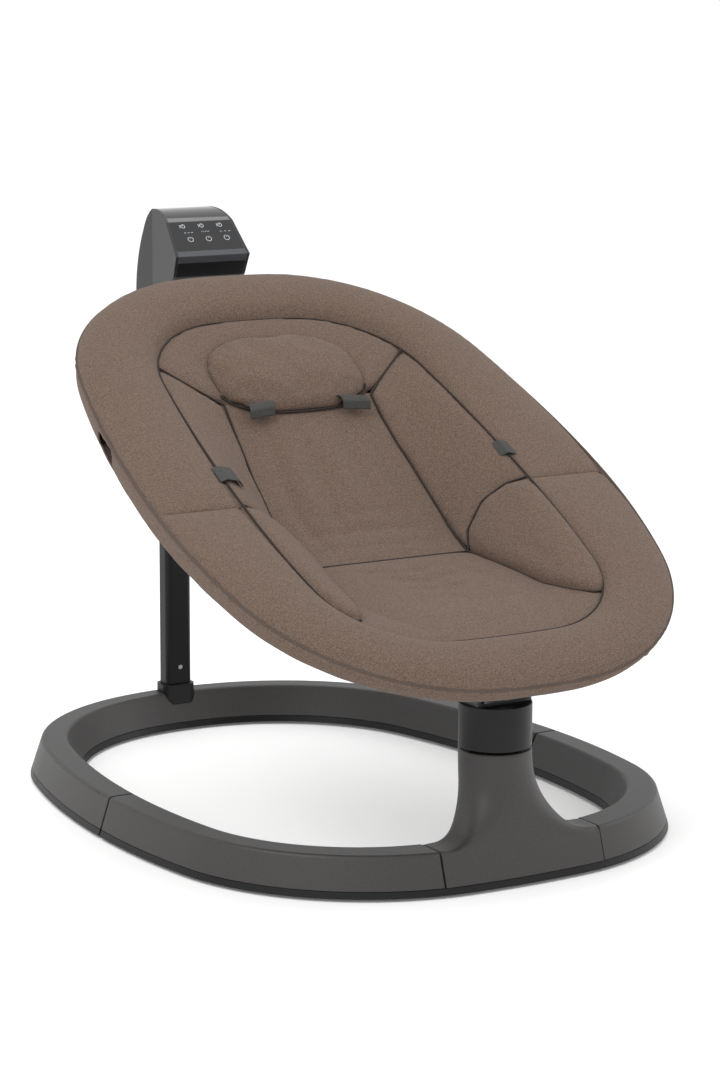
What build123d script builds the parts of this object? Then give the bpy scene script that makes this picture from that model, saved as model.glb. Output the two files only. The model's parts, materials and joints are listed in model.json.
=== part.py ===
from build123d import *
import os
from dataclasses import dataclass
from math import atan2, cos, degrees, hypot, radians, sin, sqrt

# Baby swing: a floor ring in two halves, a front pedestal whose turret carries the seat, and a
# rear post whose head holds the controls and the drive.  Millimetres, +Z up, the seat's foot end
# towards -Y.  The origin is on the floor, under the middle of the whole object.


@dataclass
class Oval:
    """A closed outline of tangent arcs, symmetric in X: side, corner and end arc in each quarter."""

    mid_y: float
    half_width: float
    rear: float
    front: float
    rear_radii: tuple
    front_radii: tuple


# Half size of a cutting block that reaches past everything
CUT_REACH = 500

# Base ring
RING = Oval(-35, 270.5, 406, 310, (900, 235, 300), (790, 217, 790))
RING_HOLE = Oval(-35, 232.5, 371, 264, (862, 200, 300), (750, 171, 750))
RING_HEIGHT = 40
RING_OUTER_LEAN = 12
RING_INNER_LEAN = 17
RING_WALL = 3
RING_EDGE_ROUND = 4
RING_SPLIT_Y = -10
RING_SPLIT_GAP = 3
PARTING_Z = 9
PARTING_GAP = 0.5
TRAY_FLOOR = 2.5
FOOT_HEIGHT = 3
FOOT_RADIUS = 12
FOOT_SIDE_Y = (170, -120)
FOOT_END_X = 110
FOOT_END_INSET = 46
SLEEVE_LENGTH = 64
FIT_GAP = 0.3
RUNNING_GAP = 0.05
SCREW_RADIUS = 2
SCREW_LENGTH = 14
SCREW_INSET = 12
SCREW_HEAD_RADIUS = 3.8
SCREW_HEAD = 1.2

# Pedestal and turret
TURRET_Y = -283
PEDESTAL_HALF_WIDTH = 87
NECK_RADIUS = 34
NECK_TOP_Z = 117
NECK_BORE = 27
HOUSING_RADIUS = 31
# Each row: share of the height, share of the foot's spread, share of the lean, corner per neck radius
NECK_STATIONS = (
    (0.0, 1.0, 0.0, 0.24),
    (0.1, 0.50, 0.12, 0.35),
    (0.28, 0.25, 0.40, 0.55),
    (0.50, 0.10, 0.72, 0.78),
    (0.72, 0.02, 0.92, 0.92),
    (1.0, 0.0, 1.0, 0.995),
)
TURRET_GAP = 2.5
TURRET_TOP_Z = 160
TURRET_WALL = 3
TURRET_PLATE = 8
COLUMN_RADIUS = 18
COLUMN_WALL = 3
COLUMN_CAP = 6
COLUMN_FLANGE = 4
COLUMN_FOOT_Z = 10
COLUMN_TOP_Z = 150
BUSH_WALL = 2
BUSH_HEIGHT = 20
STEM_WALL = 4
STEM_BOTTOM_Z = 62
PIVOT_SCREW_RADIUS = 4
PIVOT_HEAD_RADIUS = 9
PIVOT_HEAD = 5
WASHER_EASE = 3
SPRING_WIRE = 1.5
SPRING_PITCH = 6

# Recline hinge and its release
RECLINE_Z = 180
RECLINE_PIN_RADIUS = 5
PIN_HEAD = 3
HUB_RADIUS = 11
HUB_HALF_WIDTH = 25
EAR_GAP = 0.5
EAR_WALL = 4
EAR_HALF_DEPTH = 15
BRACKET_BASE = 3
SCREW_CLEARANCE = 1
SECTOR_RADIUS = 22
SECTOR_WALL = 3.5
SECTOR_TOOTH = 3
SECTOR_NOTCHES = 4
SECTOR_FIRST = 8
SECTOR_PITCH = 9
PAWL_GAP = 0.6
LEVER_PIVOT = (38, -14.5)
LEVER_PIN_RADIUS = 3
LEVER_BOSS_WALL = 3
LEVER_REACH = 84
LUG_WIDTH = 9
LUG_RADIUS = 3.5

# Rear post and head
POST_Y = 345
POST_SIZE = (30, 22)
POST_CORNER = 6
POST_WALL = 1.6
POST_TOP_Z = 468
COLLAR_MARGIN = 3.5
COLLAR_HEIGHT = 9
COLLAR_DEPTH = 12
SPIGOT_HEIGHT = 62
SNAP_Z = 68
SNAP_RADIUS = 2.4
SNAP_PROUD = 1.0
SNAP_TRAVEL = 2.5
SNAP_DEPTH = 13
INLET_Z = 18
INLET_RADIUS = 4.5
INLET_LENGTH = 15
INLET_BORE = 2.75
INLET_DEPTH = 9.5
HEAD_NOSE = (254, 521)
HEAD_TAPER_Y = 326
HEAD_REAR_Y = 364
HEAD_NOSE_HALF_WIDTH = 44
HEAD_REAR_HALF_WIDTH = 33.5
HEAD_BOTTOM_Z = 395
HEAD_FLOOR_Z = 440
HEAD_TOP_Z = 565
HEAD_SHOULDER = (284, 554)
HEAD_CROWN = (303, 563)
HEAD_APEX = (HEAD_TAPER_Y, HEAD_TOP_Z)
HEAD_BROW = (337, 556.5)
HEAD_HEEL = (345, 544)
HEAD_BACK = (358.5, 512)
HEAD_TAIL = (HEAD_REAR_Y, 478)
HEAD_THROAT = (300, 462)
HEAD_CHIN = (263, 499)
HEAD_NECK_TOP_Z = 418
HEAD_NECK_MARGIN = 6
HEAD_WALL = 2.5
SIDE_COVER = 3
FASCIA = 2.5
LIGHT_TOP_Z = 526
LIGHT_HEIGHT = 12
BOARD_SIZE = (52, 40, 1.6)
BOARD_PLACE = (296, 534)
SPEAKER_RADIUS = 16
SPEAKER_HEIGHT = 9
SPEAKER_PLACE = (330, 490)
CONE_RADII = (4, 13)
CONE_DEPTH = 6
COIL_RADIUS = 12
COIL_BORE = 4
COIL_LENGTH = 12
COIL_PLACE = (297, 498)

# Seat, laid out in its own plane: X across, Y up the slope, Z square to the rim's top face
SEAT_Y = -85
SEAT_Z = 333
SEAT_TILT = 26.6
RIM = Oval(0, 250, 365, 312, (1000, 200, 900), (640, 212, 900))
BUCKET = Oval(-28, 160, 316, 214, (1900, 110, 900), (1060, 106, 1150))
RIM_TOP = 8
RIM_BOTTOM = -4
RIM_SPLIT_V = -12
SOFT_GAP = 0.6
FRAME_INSET = 24
FRAME_RADIUS = 9
FRAME_WALL = 1.5
SPIGOT_REACH = 18
SADDLE_LENGTH = 200
SADDLE_WALL = 2.8
SADDLE_ROOM = 0.2
FRAME_DEPTH = RIM_BOTTOM - SADDLE_ROOM - SADDLE_WALL - FRAME_RADIUS
STRUT_RADIUS = 8
STRUT_SPREAD = 10
CARRIER_ROOM = 2
SKIRT_LEAN = 6
SKIRT_WALL = 2.5
SKIRT_ROOM = 4.5
SKIRT_BOTTOM = FRAME_DEPTH - FRAME_RADIUS - SKIRT_ROOM - SKIRT_WALL
SKIRT_HEM = 44
TOY_BAR_V = 114
TOY_BAR_LENGTH = 60
TOY_SLEEVE_WALL = 2
TOY_SLOT_LENGTH = 40
SLOT_EASE = 3
MAGNET = (8, 4)
MAGNET_WALL = 2
CLIP_HALF_WIDTH = 20
CLIP_REACH = 14
CLIP_DROP = 12
CLIP_RISE = 10
PAD_THICKNESS = 13
SLING_THICKNESS = 2
SLING_DROP = 5
WING_GAP = 3

# Bucket stations up the slope: (place, half width of the middle panel, depth of its surface)
BACK_STATIONS = [
    (-44, 87, -57),
    (-15, 92, -61),
    (25, 92, -57),
    (80, 90, -45),
    (125, 86, -33),
    (160, 82, -24),
]
PAN_STATIONS = [
    (-236, 60, -5),
    (-200, 108, -14),
    (-150, 110, -27),
    (-100, 99, -41),
    (-50, 88, -56),
]
WING_TOP = ((178, 84, -19), (214, 128, -3))
SLING_TOP = [(178, 84, -22), (214, 80, -18), (250, 60, -10), (276, 40, -1)]
PILLOW_V = 213
PILLOW_DEPTH = -9
PILLOW_SIZE = (83, 44)
PILLOW_THICKNESS = 15
PILLOW_LEAN = -10
WEBBING_THICKNESS = 2.4
HEAD_LOOP_SIZE = (33, 17)
HEAD_LOOP_PLACE = (50, 146, -24.5)
HEAD_LOOP_LEAN = 20
FLANK_LOOP_SIZE = (25, 23)
FLANK_LOOP_PLACE = (141, 36, -9)
FLANK_LOOP_LEAN = 39


def save(name, shape):
    """Write one named piece."""
    os.makedirs("parts", exist_ok=True)
    export_step(shape, f"parts/{name}.step")


def quarter(half_width, length, radii):
    """Side, corner and end circle centres of one quarter of an oval."""
    side_r, corner_r, end_r = radii
    side, end = (half_width - side_r, 0.0), (0.0, length - end_r)
    gap = hypot(end[0] - side[0], end[1] - side[1])
    along = ((side_r - corner_r) ** 2 - (end_r - corner_r) ** 2 + gap ** 2) / (2 * gap)
    off = sqrt((side_r - corner_r) ** 2 - along ** 2)
    ux, uy = (end[0] - side[0]) / gap, (end[1] - side[1]) / gap
    picks = [(side[0] + ux * along - s * uy * off, side[1] + uy * along + s * ux * off) for s in (1, -1)]
    return side, max(picks, key=sum), end


def oval_points(oval, inset, sign):
    """Tangent points and arc middles of the right-hand quarter, rear (1) or front (-1)."""
    length = oval.rear if sign > 0 else oval.front
    radii = oval.rear_radii if sign > 0 else oval.front_radii
    side, corner, end = quarter(oval.half_width, length, radii)
    first = atan2(corner[1] - side[1], corner[0] - side[0])
    second = atan2(corner[1] - end[1], corner[0] - end[0])
    spans = (
        (side, radii[0], 0.0, first),
        (corner, radii[1], first, second),
        (end, radii[2], second, radians(90)),
    )
    arcs = []
    for (cx, cy), radius, start, stop in spans:
        trio = []
        for angle in (start, (start + stop) / 2, stop):
            x = cx + (radius - inset) * cos(angle)
            y = cy + (radius - inset) * sin(angle)
            trio.append((x, oval.mid_y + sign * y))
        arcs.append(trio)
    return arcs


def oval_edges(oval, inset=0.0, z=0.0):
    """The twelve arcs of an oval, moved inwards by inset."""
    edges = []
    for sign in (1, -1):
        for start, middle, stop in oval_points(oval, inset, sign):
            for side in (1, -1):
                points = [(side * x, y, z) for x, y in (start, middle, stop)]
                edges.append(ThreePointArc(*points))
    return edges


def oval_face(oval, inset=0.0, z=0.0):
    return Face(Wire(oval_edges(oval, inset, z)))


def half_width_at(oval, v, inset=0.0):
    """Half width of an oval at a place along Y, from whichever arc passes there."""
    sign = 1 if v >= oval.mid_y else -1
    for start, middle, stop in oval_points(oval, inset, sign):
        reach = abs(stop[1] - oval.mid_y)
        if abs(v - oval.mid_y) <= reach:
            break
    centre, radius = circle_through(start, middle, stop)
    return centre[0] + sqrt(max(radius ** 2 - (v - centre[1]) ** 2, 0.0))


def circle_through(a, b, c):
    """Centre and radius of the circle through three points."""
    (ax, ay), (bx, by), (cx, cy) = a, b, c
    turn = 2 * (ax * (by - cy) + bx * (cy - ay) + cx * (ay - by))
    sa, sb, sc = ax * ax + ay * ay, bx * bx + by * by, cx * cx + cy * cy
    x = (sa * (by - cy) + sb * (cy - ay) + sc * (ay - by)) / turn
    y = (sa * (cx - bx) + sb * (ax - cx) + sc * (bx - ax)) / turn
    return (x, y), hypot(ax - x, ay - y)


def leaning_plug(oval, inset_low, inset_high, z_low, z_high):
    """Solid between two levels whose side leans by the change of inset."""
    return loft([oval_face(oval, inset_low, z_low), oval_face(oval, inset_high, z_high)], ruled=True)


def lean(z, amount):
    """Inset of a leaning ring wall at a height."""
    return amount * (z - FOOT_HEIGHT) / (RING_HEIGHT - FOOT_HEIGHT)


def ring_band(inset, z_low, z_high):
    """The ring's solid section between two heights, with both walls moved into it by inset."""
    outer = leaning_plug(
        RING, inset + lean(z_low, RING_OUTER_LEAN), inset + lean(z_high, RING_OUTER_LEAN), z_low, z_high
    )
    low = RING_INNER_LEAN - lean(z_low, RING_INNER_LEAN) - inset
    high = RING_INNER_LEAN - lean(z_high, RING_INNER_LEAN) - inset
    return outer - leaning_plug(RING_HOLE, low, high, z_low, z_high)


def block(x, y, z):
    """Box from three (low, high) pairs."""
    size = [high - low for low, high in (x, y, z)]
    middle = [(high + low) / 2 for low, high in (x, y, z)]
    return Pos(*middle) * Box(*size)


def rod(start, stop, radius):
    """Round bar between two points."""
    path = Vector(*stop) - Vector(*start)
    return extrude(Plane(origin=start, z_dir=path) * Circle(radius), path.length)


def tube(radius, bore, z_low, z_high):
    """Upright tube on the local Z axis."""
    middle = Pos(0, 0, (z_low + z_high) / 2)
    return middle * (Cylinder(radius, z_high - z_low) - Cylinder(bore, z_high - z_low))


def in_seat(shape):
    """Put a piece drawn in the rim's plane into its place on the swing."""
    return Pos(0, SEAT_Y, SEAT_Z) * Rot(SEAT_TILT, 0, 0) * shape


def seat_point(y, z):
    """Place of an upright point in the rim's plane coordinates."""
    tilt = radians(SEAT_TILT)
    dy, dz = y - SEAT_Y, z - SEAT_Z
    return dy * cos(tilt) + dz * sin(tilt), dz * cos(tilt) - dy * sin(tilt)


# ---- Base ring

def ring_shell():
    """The upper shell of the ring before it is parted into halves, open underneath."""
    band = ring_band(0, PARTING_Z + PARTING_GAP, RING_HEIGHT)
    top_edges = band.edges().filter_by_position(Axis.Z, RING_HEIGHT - 0.1, RING_HEIGHT + 0.1)
    band = fillet(top_edges, RING_EDGE_ROUND)
    return band - ring_band(RING_WALL, PARTING_Z, RING_HEIGHT - RING_WALL)


def ring_tray():
    """The lower tray, which closes the shell and carries the feet."""
    tray = ring_band(0, FOOT_HEIGHT, PARTING_Z)
    return tray - ring_band(RING_WALL, FOOT_HEIGHT + TRAY_FLOOR, PARTING_Z)


def rear_half(shape):
    wide = (-CUT_REACH, CUT_REACH)
    return shape & block(wide, (RING_SPLIT_Y + RING_SPLIT_GAP / 2, CUT_REACH), wide)


def front_half(shape):
    wide = (-CUT_REACH, CUT_REACH)
    return shape & block(wide, (-CUT_REACH, RING_SPLIT_Y - RING_SPLIT_GAP / 2), wide)


def pedestal_span(gap):
    """The stretch of ring that the pedestal takes up, above the tray."""
    half = PEDESTAL_HALF_WIDTH + gap
    return block((-half, half), (-CUT_REACH, TURRET_Y + PEDESTAL_HALF_WIDTH), (PARTING_Z, CUT_REACH))


def screw_places():
    """Two screws hold each joint sleeve, one in each half of the ring."""
    offset = SLEEVE_LENGTH / 2 - SCREW_INSET
    places = [sleeve_middle(RING_SPLIT_Y + side * offset) for side in (1, -1)]
    return [(side * x, y) for x, y in places for side in (1, -1)]


def sleeve_middle(y):
    return (half_width_at(RING, y) + half_width_at(RING_HOLE, y) - RING_INNER_LEAN / 2) / 2, y


def foot_places():
    """Feet stand under the middle of the band, at the front, the rear and the sides."""
    places = [sleeve_middle(y) for y in FOOT_SIDE_Y]
    front_y = RING.mid_y - RING.front + FOOT_END_INSET
    rear_y = RING.mid_y + RING.rear - FOOT_END_INSET
    places += [(FOOT_END_X, front_y), (FOOT_END_X, rear_y)]
    return [(side * x, y) for x, y in places for side in (1, -1)]


def make_ring():
    shell, tray = ring_shell(), ring_tray()
    sleeve = ring_band(RING_WALL + FIT_GAP, PARTING_Z + PARTING_GAP, RING_HEIGHT - RING_WALL - FIT_GAP)
    upward = (Align.CENTER, Align.CENTER, Align.MIN)
    screws = []
    for x, y in screw_places():
        shank = Cylinder(SCREW_RADIUS, SCREW_LENGTH, align=upward)
        head = Cylinder(SCREW_HEAD_RADIUS, SCREW_HEAD, align=upward)
        screws.append(Pos(x, y, FOOT_HEIGHT) * (shank + head))
    holes = Part() + screws
    save("rear_ring_shell", rear_half(shell) - socket_solid(FIT_GAP) - inlet_barrel(FIT_GAP))
    front = front_half(shell) - pedestal_span(PARTING_GAP)
    ahead, up = (-CUT_REACH, 0), (0, 2 * RING_HEIGHT)
    save("front_ring_left", front & block((-CUT_REACH, 0), ahead, up))
    save("front_ring_right", front & block((0, CUT_REACH), ahead, up))
    save("rear_base_tray", rear_half(tray) - holes)
    boss = Cylinder(HOUSING_RADIUS, PARTING_Z - FOOT_HEIGHT)
    boss = Pos(0, TURRET_Y, (FOOT_HEIGHT + PARTING_Z) / 2) * boss
    save("front_base_tray", front_half(tray) + boss - holes)
    reach_y = (RING_SPLIT_Y - SLEEVE_LENGTH / 2, RING_SPLIT_Y + SLEEVE_LENGTH / 2)
    for name, reach_x in (("left", (-CUT_REACH, 0)), ("right", (0, CUT_REACH))):
        save(f"joint_sleeve_{name}", (sleeve & block(reach_x, reach_y, up)) - holes)
    save("tray_screws", Compound(children=screws))
    feet = [Pos(x, y, FOOT_HEIGHT / 2) * Cylinder(FOOT_RADIUS, FOOT_HEIGHT) for x, y in foot_places()]
    save("rubber_feet", Compound(children=feet))


# ---- Pedestal and turret

def neck_sections():
    """The pedestal's rounded sections, from the ring's top up to the round neck."""
    top_front, top_rear = TURRET_Y - NECK_RADIUS, TURRET_Y + NECK_RADIUS
    edge_front = RING.mid_y - RING.front + RING_OUTER_LEAN
    edge_rear = RING_HOLE.mid_y - RING_HOLE.front
    sections = []
    for up, spread, draw, corner in NECK_STATIONS:
        half = NECK_RADIUS + spread * (PEDESTAL_HALF_WIDTH - NECK_RADIUS)
        front = edge_front + draw * (top_front - edge_front)
        rear = edge_rear + draw * (top_rear - edge_rear)
        plate = RectangleRounded(2 * half, rear - front, corner * NECK_RADIUS)
        z = RING_HEIGHT + up * (NECK_TOP_Z - RING_HEIGHT)
        sections.append(Pos(0, (front + rear) / 2, z) * plate)
    return sections


def make_pedestal():
    """One moulded shell: its foot continues the ring and its front face sweeps up into the neck."""
    foot = ring_band(0, PARTING_Z + PARTING_GAP, RING_HEIGHT) & pedestal_span(0)
    limit = extrude(oval_face(RING, RING_OUTER_LEAN, RING_HEIGHT), NECK_TOP_Z)
    housing = Pos(0, TURRET_Y, 0) * tube(HOUSING_RADIUS, 1, PARTING_Z + PARTING_GAP, NECK_TOP_Z)
    body = foot + (loft(neck_sections()) & limit) + housing
    bore = Pos(0, TURRET_Y, NECK_TOP_Z / 2) * Cylinder(NECK_BORE, NECK_TOP_Z + 2)
    half = PEDESTAL_HALF_WIDTH - RING_WALL
    hollow = ring_band(RING_WALL, PARTING_Z, RING_HEIGHT - RING_WALL)
    hollow &= block((-half, half), (-CUT_REACH, 0), (0, CUT_REACH))
    save("pedestal_shell", body - bore - hollow)


def make_turret():
    at_turret = Pos(0, TURRET_Y, 0)
    foot_z = COLUMN_FOOT_Z
    bush_radius = COLUMN_RADIUS + BUSH_WALL
    stem_bore = bush_radius + RUNNING_GAP
    column = tube(COLUMN_RADIUS, COLUMN_RADIUS - COLUMN_WALL, foot_z, COLUMN_TOP_Z)
    column += tube(COLUMN_RADIUS, PIVOT_SCREW_RADIUS, COLUMN_TOP_Z - COLUMN_CAP, COLUMN_TOP_Z)
    column += tube(NECK_BORE - FIT_GAP, COLUMN_RADIUS - 1, foot_z, foot_z + COLUMN_FLANGE)
    save("pivot_column", at_turret * column)
    lower_z = STEM_BOTTOM_Z + 2
    upper_z = COLUMN_TOP_Z - BUSH_HEIGHT - COLUMN_FLANGE
    for name, z in (("lower_bush", lower_z), ("upper_bush", upper_z)):
        save(name, at_turret * tube(bush_radius, COLUMN_RADIUS, z, z + BUSH_HEIGHT))
    plate_low = TURRET_TOP_Z - TURRET_PLATE
    washer = tube(COLUMN_RADIUS - 1, PIVOT_SCREW_RADIUS + WASHER_EASE, COLUMN_TOP_Z, plate_low - RUNNING_GAP)
    save("thrust_washer", at_turret * washer)
    screw_low = COLUMN_TOP_Z - COLUMN_CAP - 4
    shank = tube(PIVOT_SCREW_RADIUS, 0.5, screw_low, TURRET_TOP_Z + RUNNING_GAP)
    head = tube(PIVOT_HEAD_RADIUS, 0.5, TURRET_TOP_Z + RUNNING_GAP, TURRET_TOP_Z + PIVOT_HEAD)
    save("pivot_screw", at_turret * (shank + head))
    drum = tube(NECK_RADIUS, NECK_RADIUS - TURRET_WALL, NECK_TOP_Z + TURRET_GAP, TURRET_TOP_Z)
    drum += tube(stem_bore + STEM_WALL, stem_bore, STEM_BOTTOM_Z, TURRET_TOP_Z)
    drum += tube(NECK_RADIUS, PIVOT_SCREW_RADIUS + RUNNING_GAP, plate_low, TURRET_TOP_Z)
    save("turret_drum", at_turret * drum)
    low, high = foot_z + COLUMN_FLANGE + SPRING_WIRE + 1, STEM_BOTTOM_Z - SPRING_WIRE - 1
    helix = Helix(pitch=SPRING_PITCH, height=high - low, radius=(COLUMN_RADIUS + NECK_BORE) / 2)
    wire = sweep(Plane(origin=helix @ 0, z_dir=helix % 0) * Circle(SPRING_WIRE), path=helix)
    save("centring_spring", at_turret * Pos(0, 0, low) * wire)


def make_recline():
    """Bracket on the turret with its hinge pin and toothed sector."""
    inner = HUB_HALF_WIDTH + EAR_GAP
    outer = inner + EAR_WALL
    base_z = TURRET_TOP_Z - RECLINE_Z
    hinge = Pos(0, TURRET_Y, RECLINE_Z)
    across = Rot(0, 90, 0)
    span_y = (-EAR_HALF_DEPTH, EAR_HALF_DEPTH)
    bracket = block((-outer, outer), span_y, (base_z, base_z + BRACKET_BASE))
    bracket -= Pos(0, 0, base_z) * Cylinder(PIVOT_HEAD_RADIUS + SCREW_CLEARANCE, 3 * BRACKET_BASE)
    for low, high in ((inner, outer), (-outer, -inner)):
        bracket += block((low, high), span_y, (base_z, 0))
        bracket += Pos((low + high) / 2, 0, 0) * across * Cylinder(EAR_HALF_DEPTH, EAR_WALL)
    bracket -= across * Cylinder(RECLINE_PIN_RADIUS, 3 * outer)
    save("recline_bracket", hinge * bracket)
    pin = across * Cylinder(RECLINE_PIN_RADIUS, 2 * outer)
    head = across * Cylinder(RECLINE_PIN_RADIUS + PIN_HEAD, PIN_HEAD)
    for side in (1, -1):
        pin += Pos(side * (outer + PIN_HEAD / 2), 0, 0) * head
    save("recline_pin", hinge * pin)
    sector_x = -inner + SECTOR_WALL / 2
    disc = Cylinder(SECTOR_RADIUS, SECTOR_WALL) - Cylinder(RECLINE_PIN_RADIUS, SECTOR_WALL)
    sector = Pos(sector_x, 0, 0) * across * disc
    for step in range(SECTOR_NOTCHES):
        angle = SECTOR_FIRST - step * SECTOR_PITCH
        notch = Box(SECTOR_WALL, SECTOR_TOOTH, SECTOR_TOOTH)
        at_rim = Pos(sector_x, 0, 0) * Rot(angle, 0, 0) * Pos(0, SECTOR_RADIUS, 0)
        sector -= at_rim * Rot(45, 0, 0) * notch
    above_base = (base_z + BRACKET_BASE, SECTOR_RADIUS)
    sector &= block((-outer, outer), (-SECTOR_RADIUS, SECTOR_RADIUS), above_base)
    save("recline_sector", hinge * sector)


# ---- Rear post and head

def post_prism(margin, z_low, z_high):
    width, depth = POST_SIZE
    section = RectangleRounded(width + 2 * margin, depth + 2 * margin, POST_CORNER + margin)
    return Pos(0, POST_Y, z_low) * extrude(section, z_high - z_low)


def socket_solid(margin):
    """The collar's outline down to its seat inside the ring."""
    low, high = RING_HEIGHT - COLLAR_DEPTH - margin, RING_HEIGHT + COLLAR_HEIGHT
    return post_prism(COLLAR_MARGIN + margin, low, high)


def snap_bore(radius, depth):
    """Bore for the snap button, from the post's front face inwards."""
    front = POST_Y - POST_SIZE[1] / 2
    return rod((0, front - 2, SNAP_Z), (0, front + depth, SNAP_Z), radius)


def make_post():
    collar = socket_solid(0) - post_prism(RUNNING_GAP, RING_HEIGHT + 1, RING_HEIGHT + COLLAR_HEIGHT)
    spigot = post_prism(-POST_WALL - RUNNING_GAP, RING_HEIGHT, RING_HEIGHT + SPIGOT_HEIGHT)
    save("post_socket", collar + spigot - snap_bore(SNAP_RADIUS + RUNNING_GAP, SNAP_DEPTH))
    post = post_prism(0, RING_HEIGHT + 1, POST_TOP_Z) - post_prism(-POST_WALL, RING_HEIGHT, POST_TOP_Z)
    save("post_tube", post - snap_bore(SNAP_RADIUS + RUNNING_GAP, POST_WALL))
    front = POST_Y - POST_SIZE[1] / 2
    start, stop = (0, front - SNAP_PROUD, SNAP_Z), (0, front + SNAP_DEPTH - SNAP_TRAVEL - 1, SNAP_Z)
    save("snap_button", rod(start, stop, SNAP_RADIUS))


def inlet_barrel(margin):
    """Round power inlet in the rear wall of the ring, behind the post."""
    rear = RING.mid_y + RING.rear - lean(INLET_Z, RING_OUTER_LEAN)
    return rod((0, rear - INLET_LENGTH, INLET_Z), (0, rear, INLET_Z), INLET_RADIUS + margin)


def head_outline(inset):
    """Side view of the head, drawn in Y and Z, moved inwards by inset."""
    neck_y = POST_Y - POST_SIZE[1] / 2 - HEAD_NECK_MARGIN
    foot_front, neck_top = (neck_y, HEAD_BOTTOM_Z), (neck_y, HEAD_NECK_TOP_Z)
    lines = [
        Line(HEAD_NOSE, HEAD_SHOULDER),
        ThreePointArc(HEAD_SHOULDER, HEAD_CROWN, HEAD_APEX),
        ThreePointArc(HEAD_APEX, HEAD_BROW, HEAD_HEEL),
        ThreePointArc(HEAD_HEEL, HEAD_BACK, HEAD_TAIL),
        Line(HEAD_TAIL, (HEAD_REAR_Y, HEAD_BOTTOM_Z)),
        Line((HEAD_REAR_Y, HEAD_BOTTOM_Z), foot_front),
        Line(foot_front, neck_top),
        ThreePointArc(neck_top, HEAD_THROAT, HEAD_CHIN),
        Line(HEAD_CHIN, HEAD_NOSE),
    ]
    face = Face(Wire(lines))
    return offset(face, -inset) if inset else face


def head_prism(inset, side_inset):
    """The head's solid, its outline moved in by inset and its flanks by side_inset."""
    profile = Plane.YZ * head_outline(inset)
    body = extrude(profile, HEAD_NOSE_HALF_WIDTH + 10, both=True)
    nose, rear = HEAD_NOSE_HALF_WIDTH - side_inset, HEAD_REAR_HALF_WIDTH - side_inset
    plan = [(nose, HEAD_NOSE[0] - 5), (rear, HEAD_TAPER_Y), (rear, HEAD_REAR_Y + 5)]
    corners = plan + [(-x, y) for x, y in reversed(plan)]
    limit = extrude(make_face(Polyline(*corners, close=True)), HEAD_TOP_Z + 10)
    return body & limit


def make_head():
    whole = head_prism(0, 0)
    core = head_prism(0, SIDE_COVER)
    flanks = whole - core
    for name, reach in (("left", (-CUT_REACH, 0)), ("right", (0, CUT_REACH))):
        save(f"head_side_{name}", flanks & block(reach, (0, CUT_REACH), (0, 2 * CUT_REACH)))
    skin = core - head_prism(FASCIA, SIDE_COVER - 1)
    across = (-CUT_REACH, CUT_REACH)
    light_low = LIGHT_TOP_Z - LIGHT_HEIGHT
    strip = block(across, (0, HEAD_NOSE[0] + LIGHT_HEIGHT), (light_low, LIGHT_TOP_Z))
    front = block(across, (0, HEAD_TAPER_Y), (LIGHT_TOP_Z, 2 * CUT_REACH))
    save("light_bar", skin & strip)
    save("touch_fascia", skin & front)
    cavity = head_prism(FASCIA + HEAD_WALL, SIDE_COVER + HEAD_WALL)
    cavity &= block(across, (0, CUT_REACH), (HEAD_FLOOR_Z, 2 * CUT_REACH))
    socket = post_prism(RUNNING_GAP, HEAD_BOTTOM_Z - 1, HEAD_FLOOR_Z + 1)
    save("head_housing", core - (skin & strip) - (skin & front) - cavity - socket)
    half_x, board_y, board_z = BOARD_SIZE[0] / 2, BOARD_PLACE[0], BOARD_PLACE[1]
    board = block((-half_x, half_x), (board_y, board_y + BOARD_SIZE[1]), (board_z, board_z + BOARD_SIZE[2]))
    save("control_board", board)
    cone = Pos(0, 0, (SPEAKER_HEIGHT - CONE_DEPTH) / 2) * Cone(*CONE_RADII, CONE_DEPTH)
    save("speaker", Pos(0, *SPEAKER_PLACE) * (Cylinder(SPEAKER_RADIUS, SPEAKER_HEIGHT) - cone))
    coil = Cylinder(COIL_RADIUS, COIL_LENGTH) - Cylinder(COIL_BORE, COIL_LENGTH)
    save("drive_coil", Pos(0, *COIL_PLACE) * Rot(90, 0, 0) * coil)
    inlet = inlet_barrel(0)
    rear = RING.mid_y + RING.rear - lean(INLET_Z, RING_OUTER_LEAN)
    mouth = rod((0, rear - INLET_DEPTH, INLET_Z), (0, rear + 1, INLET_Z), INLET_BORE)
    save("power_inlet", inlet - mouth)


# ---- Seat frame, drawn in the rim's plane

def frame_wire(sign):
    """Half of the frame's centre line, rear (1) or front (-1)."""
    arcs = oval_points(RIM, FRAME_INSET, sign)
    edges = [ThreePointArc(*[(x, y, FRAME_DEPTH) for x, y in arc]) for arc in arcs]
    mirrored = [ThreePointArc(*[(-x, y, FRAME_DEPTH) for x, y in arc]) for arc in arcs]
    return Wire(edges + mirrored)


def frame_piece(sign, arc_index, angle, half_angle, side):
    """A short stretch of the frame's centre line, on one arc of a quarter."""
    length = RIM.rear if sign > 0 else RIM.front
    radii = RIM.rear_radii if sign > 0 else RIM.front_radii
    cx, cy = quarter(RIM.half_width, length, radii)[arc_index]
    radius = radii[arc_index] - FRAME_INSET
    points = []
    for turn in (angle - half_angle, angle, angle + half_angle):
        x = cx + radius * cos(radians(turn))
        y = cy + radius * sin(radians(turn))
        points.append((side * x, RIM.mid_y + sign * y, FRAME_DEPTH))
    return ThreePointArc(*points)


def sleeve_on(path, radius, bore=0.0):
    """Round bar or tube along a centre line."""
    section = Circle(radius) - Circle(bore) if bore else Circle(radius)
    return sweep(Plane(origin=path @ 0, z_dir=path % 0) * section, path=path)


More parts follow.
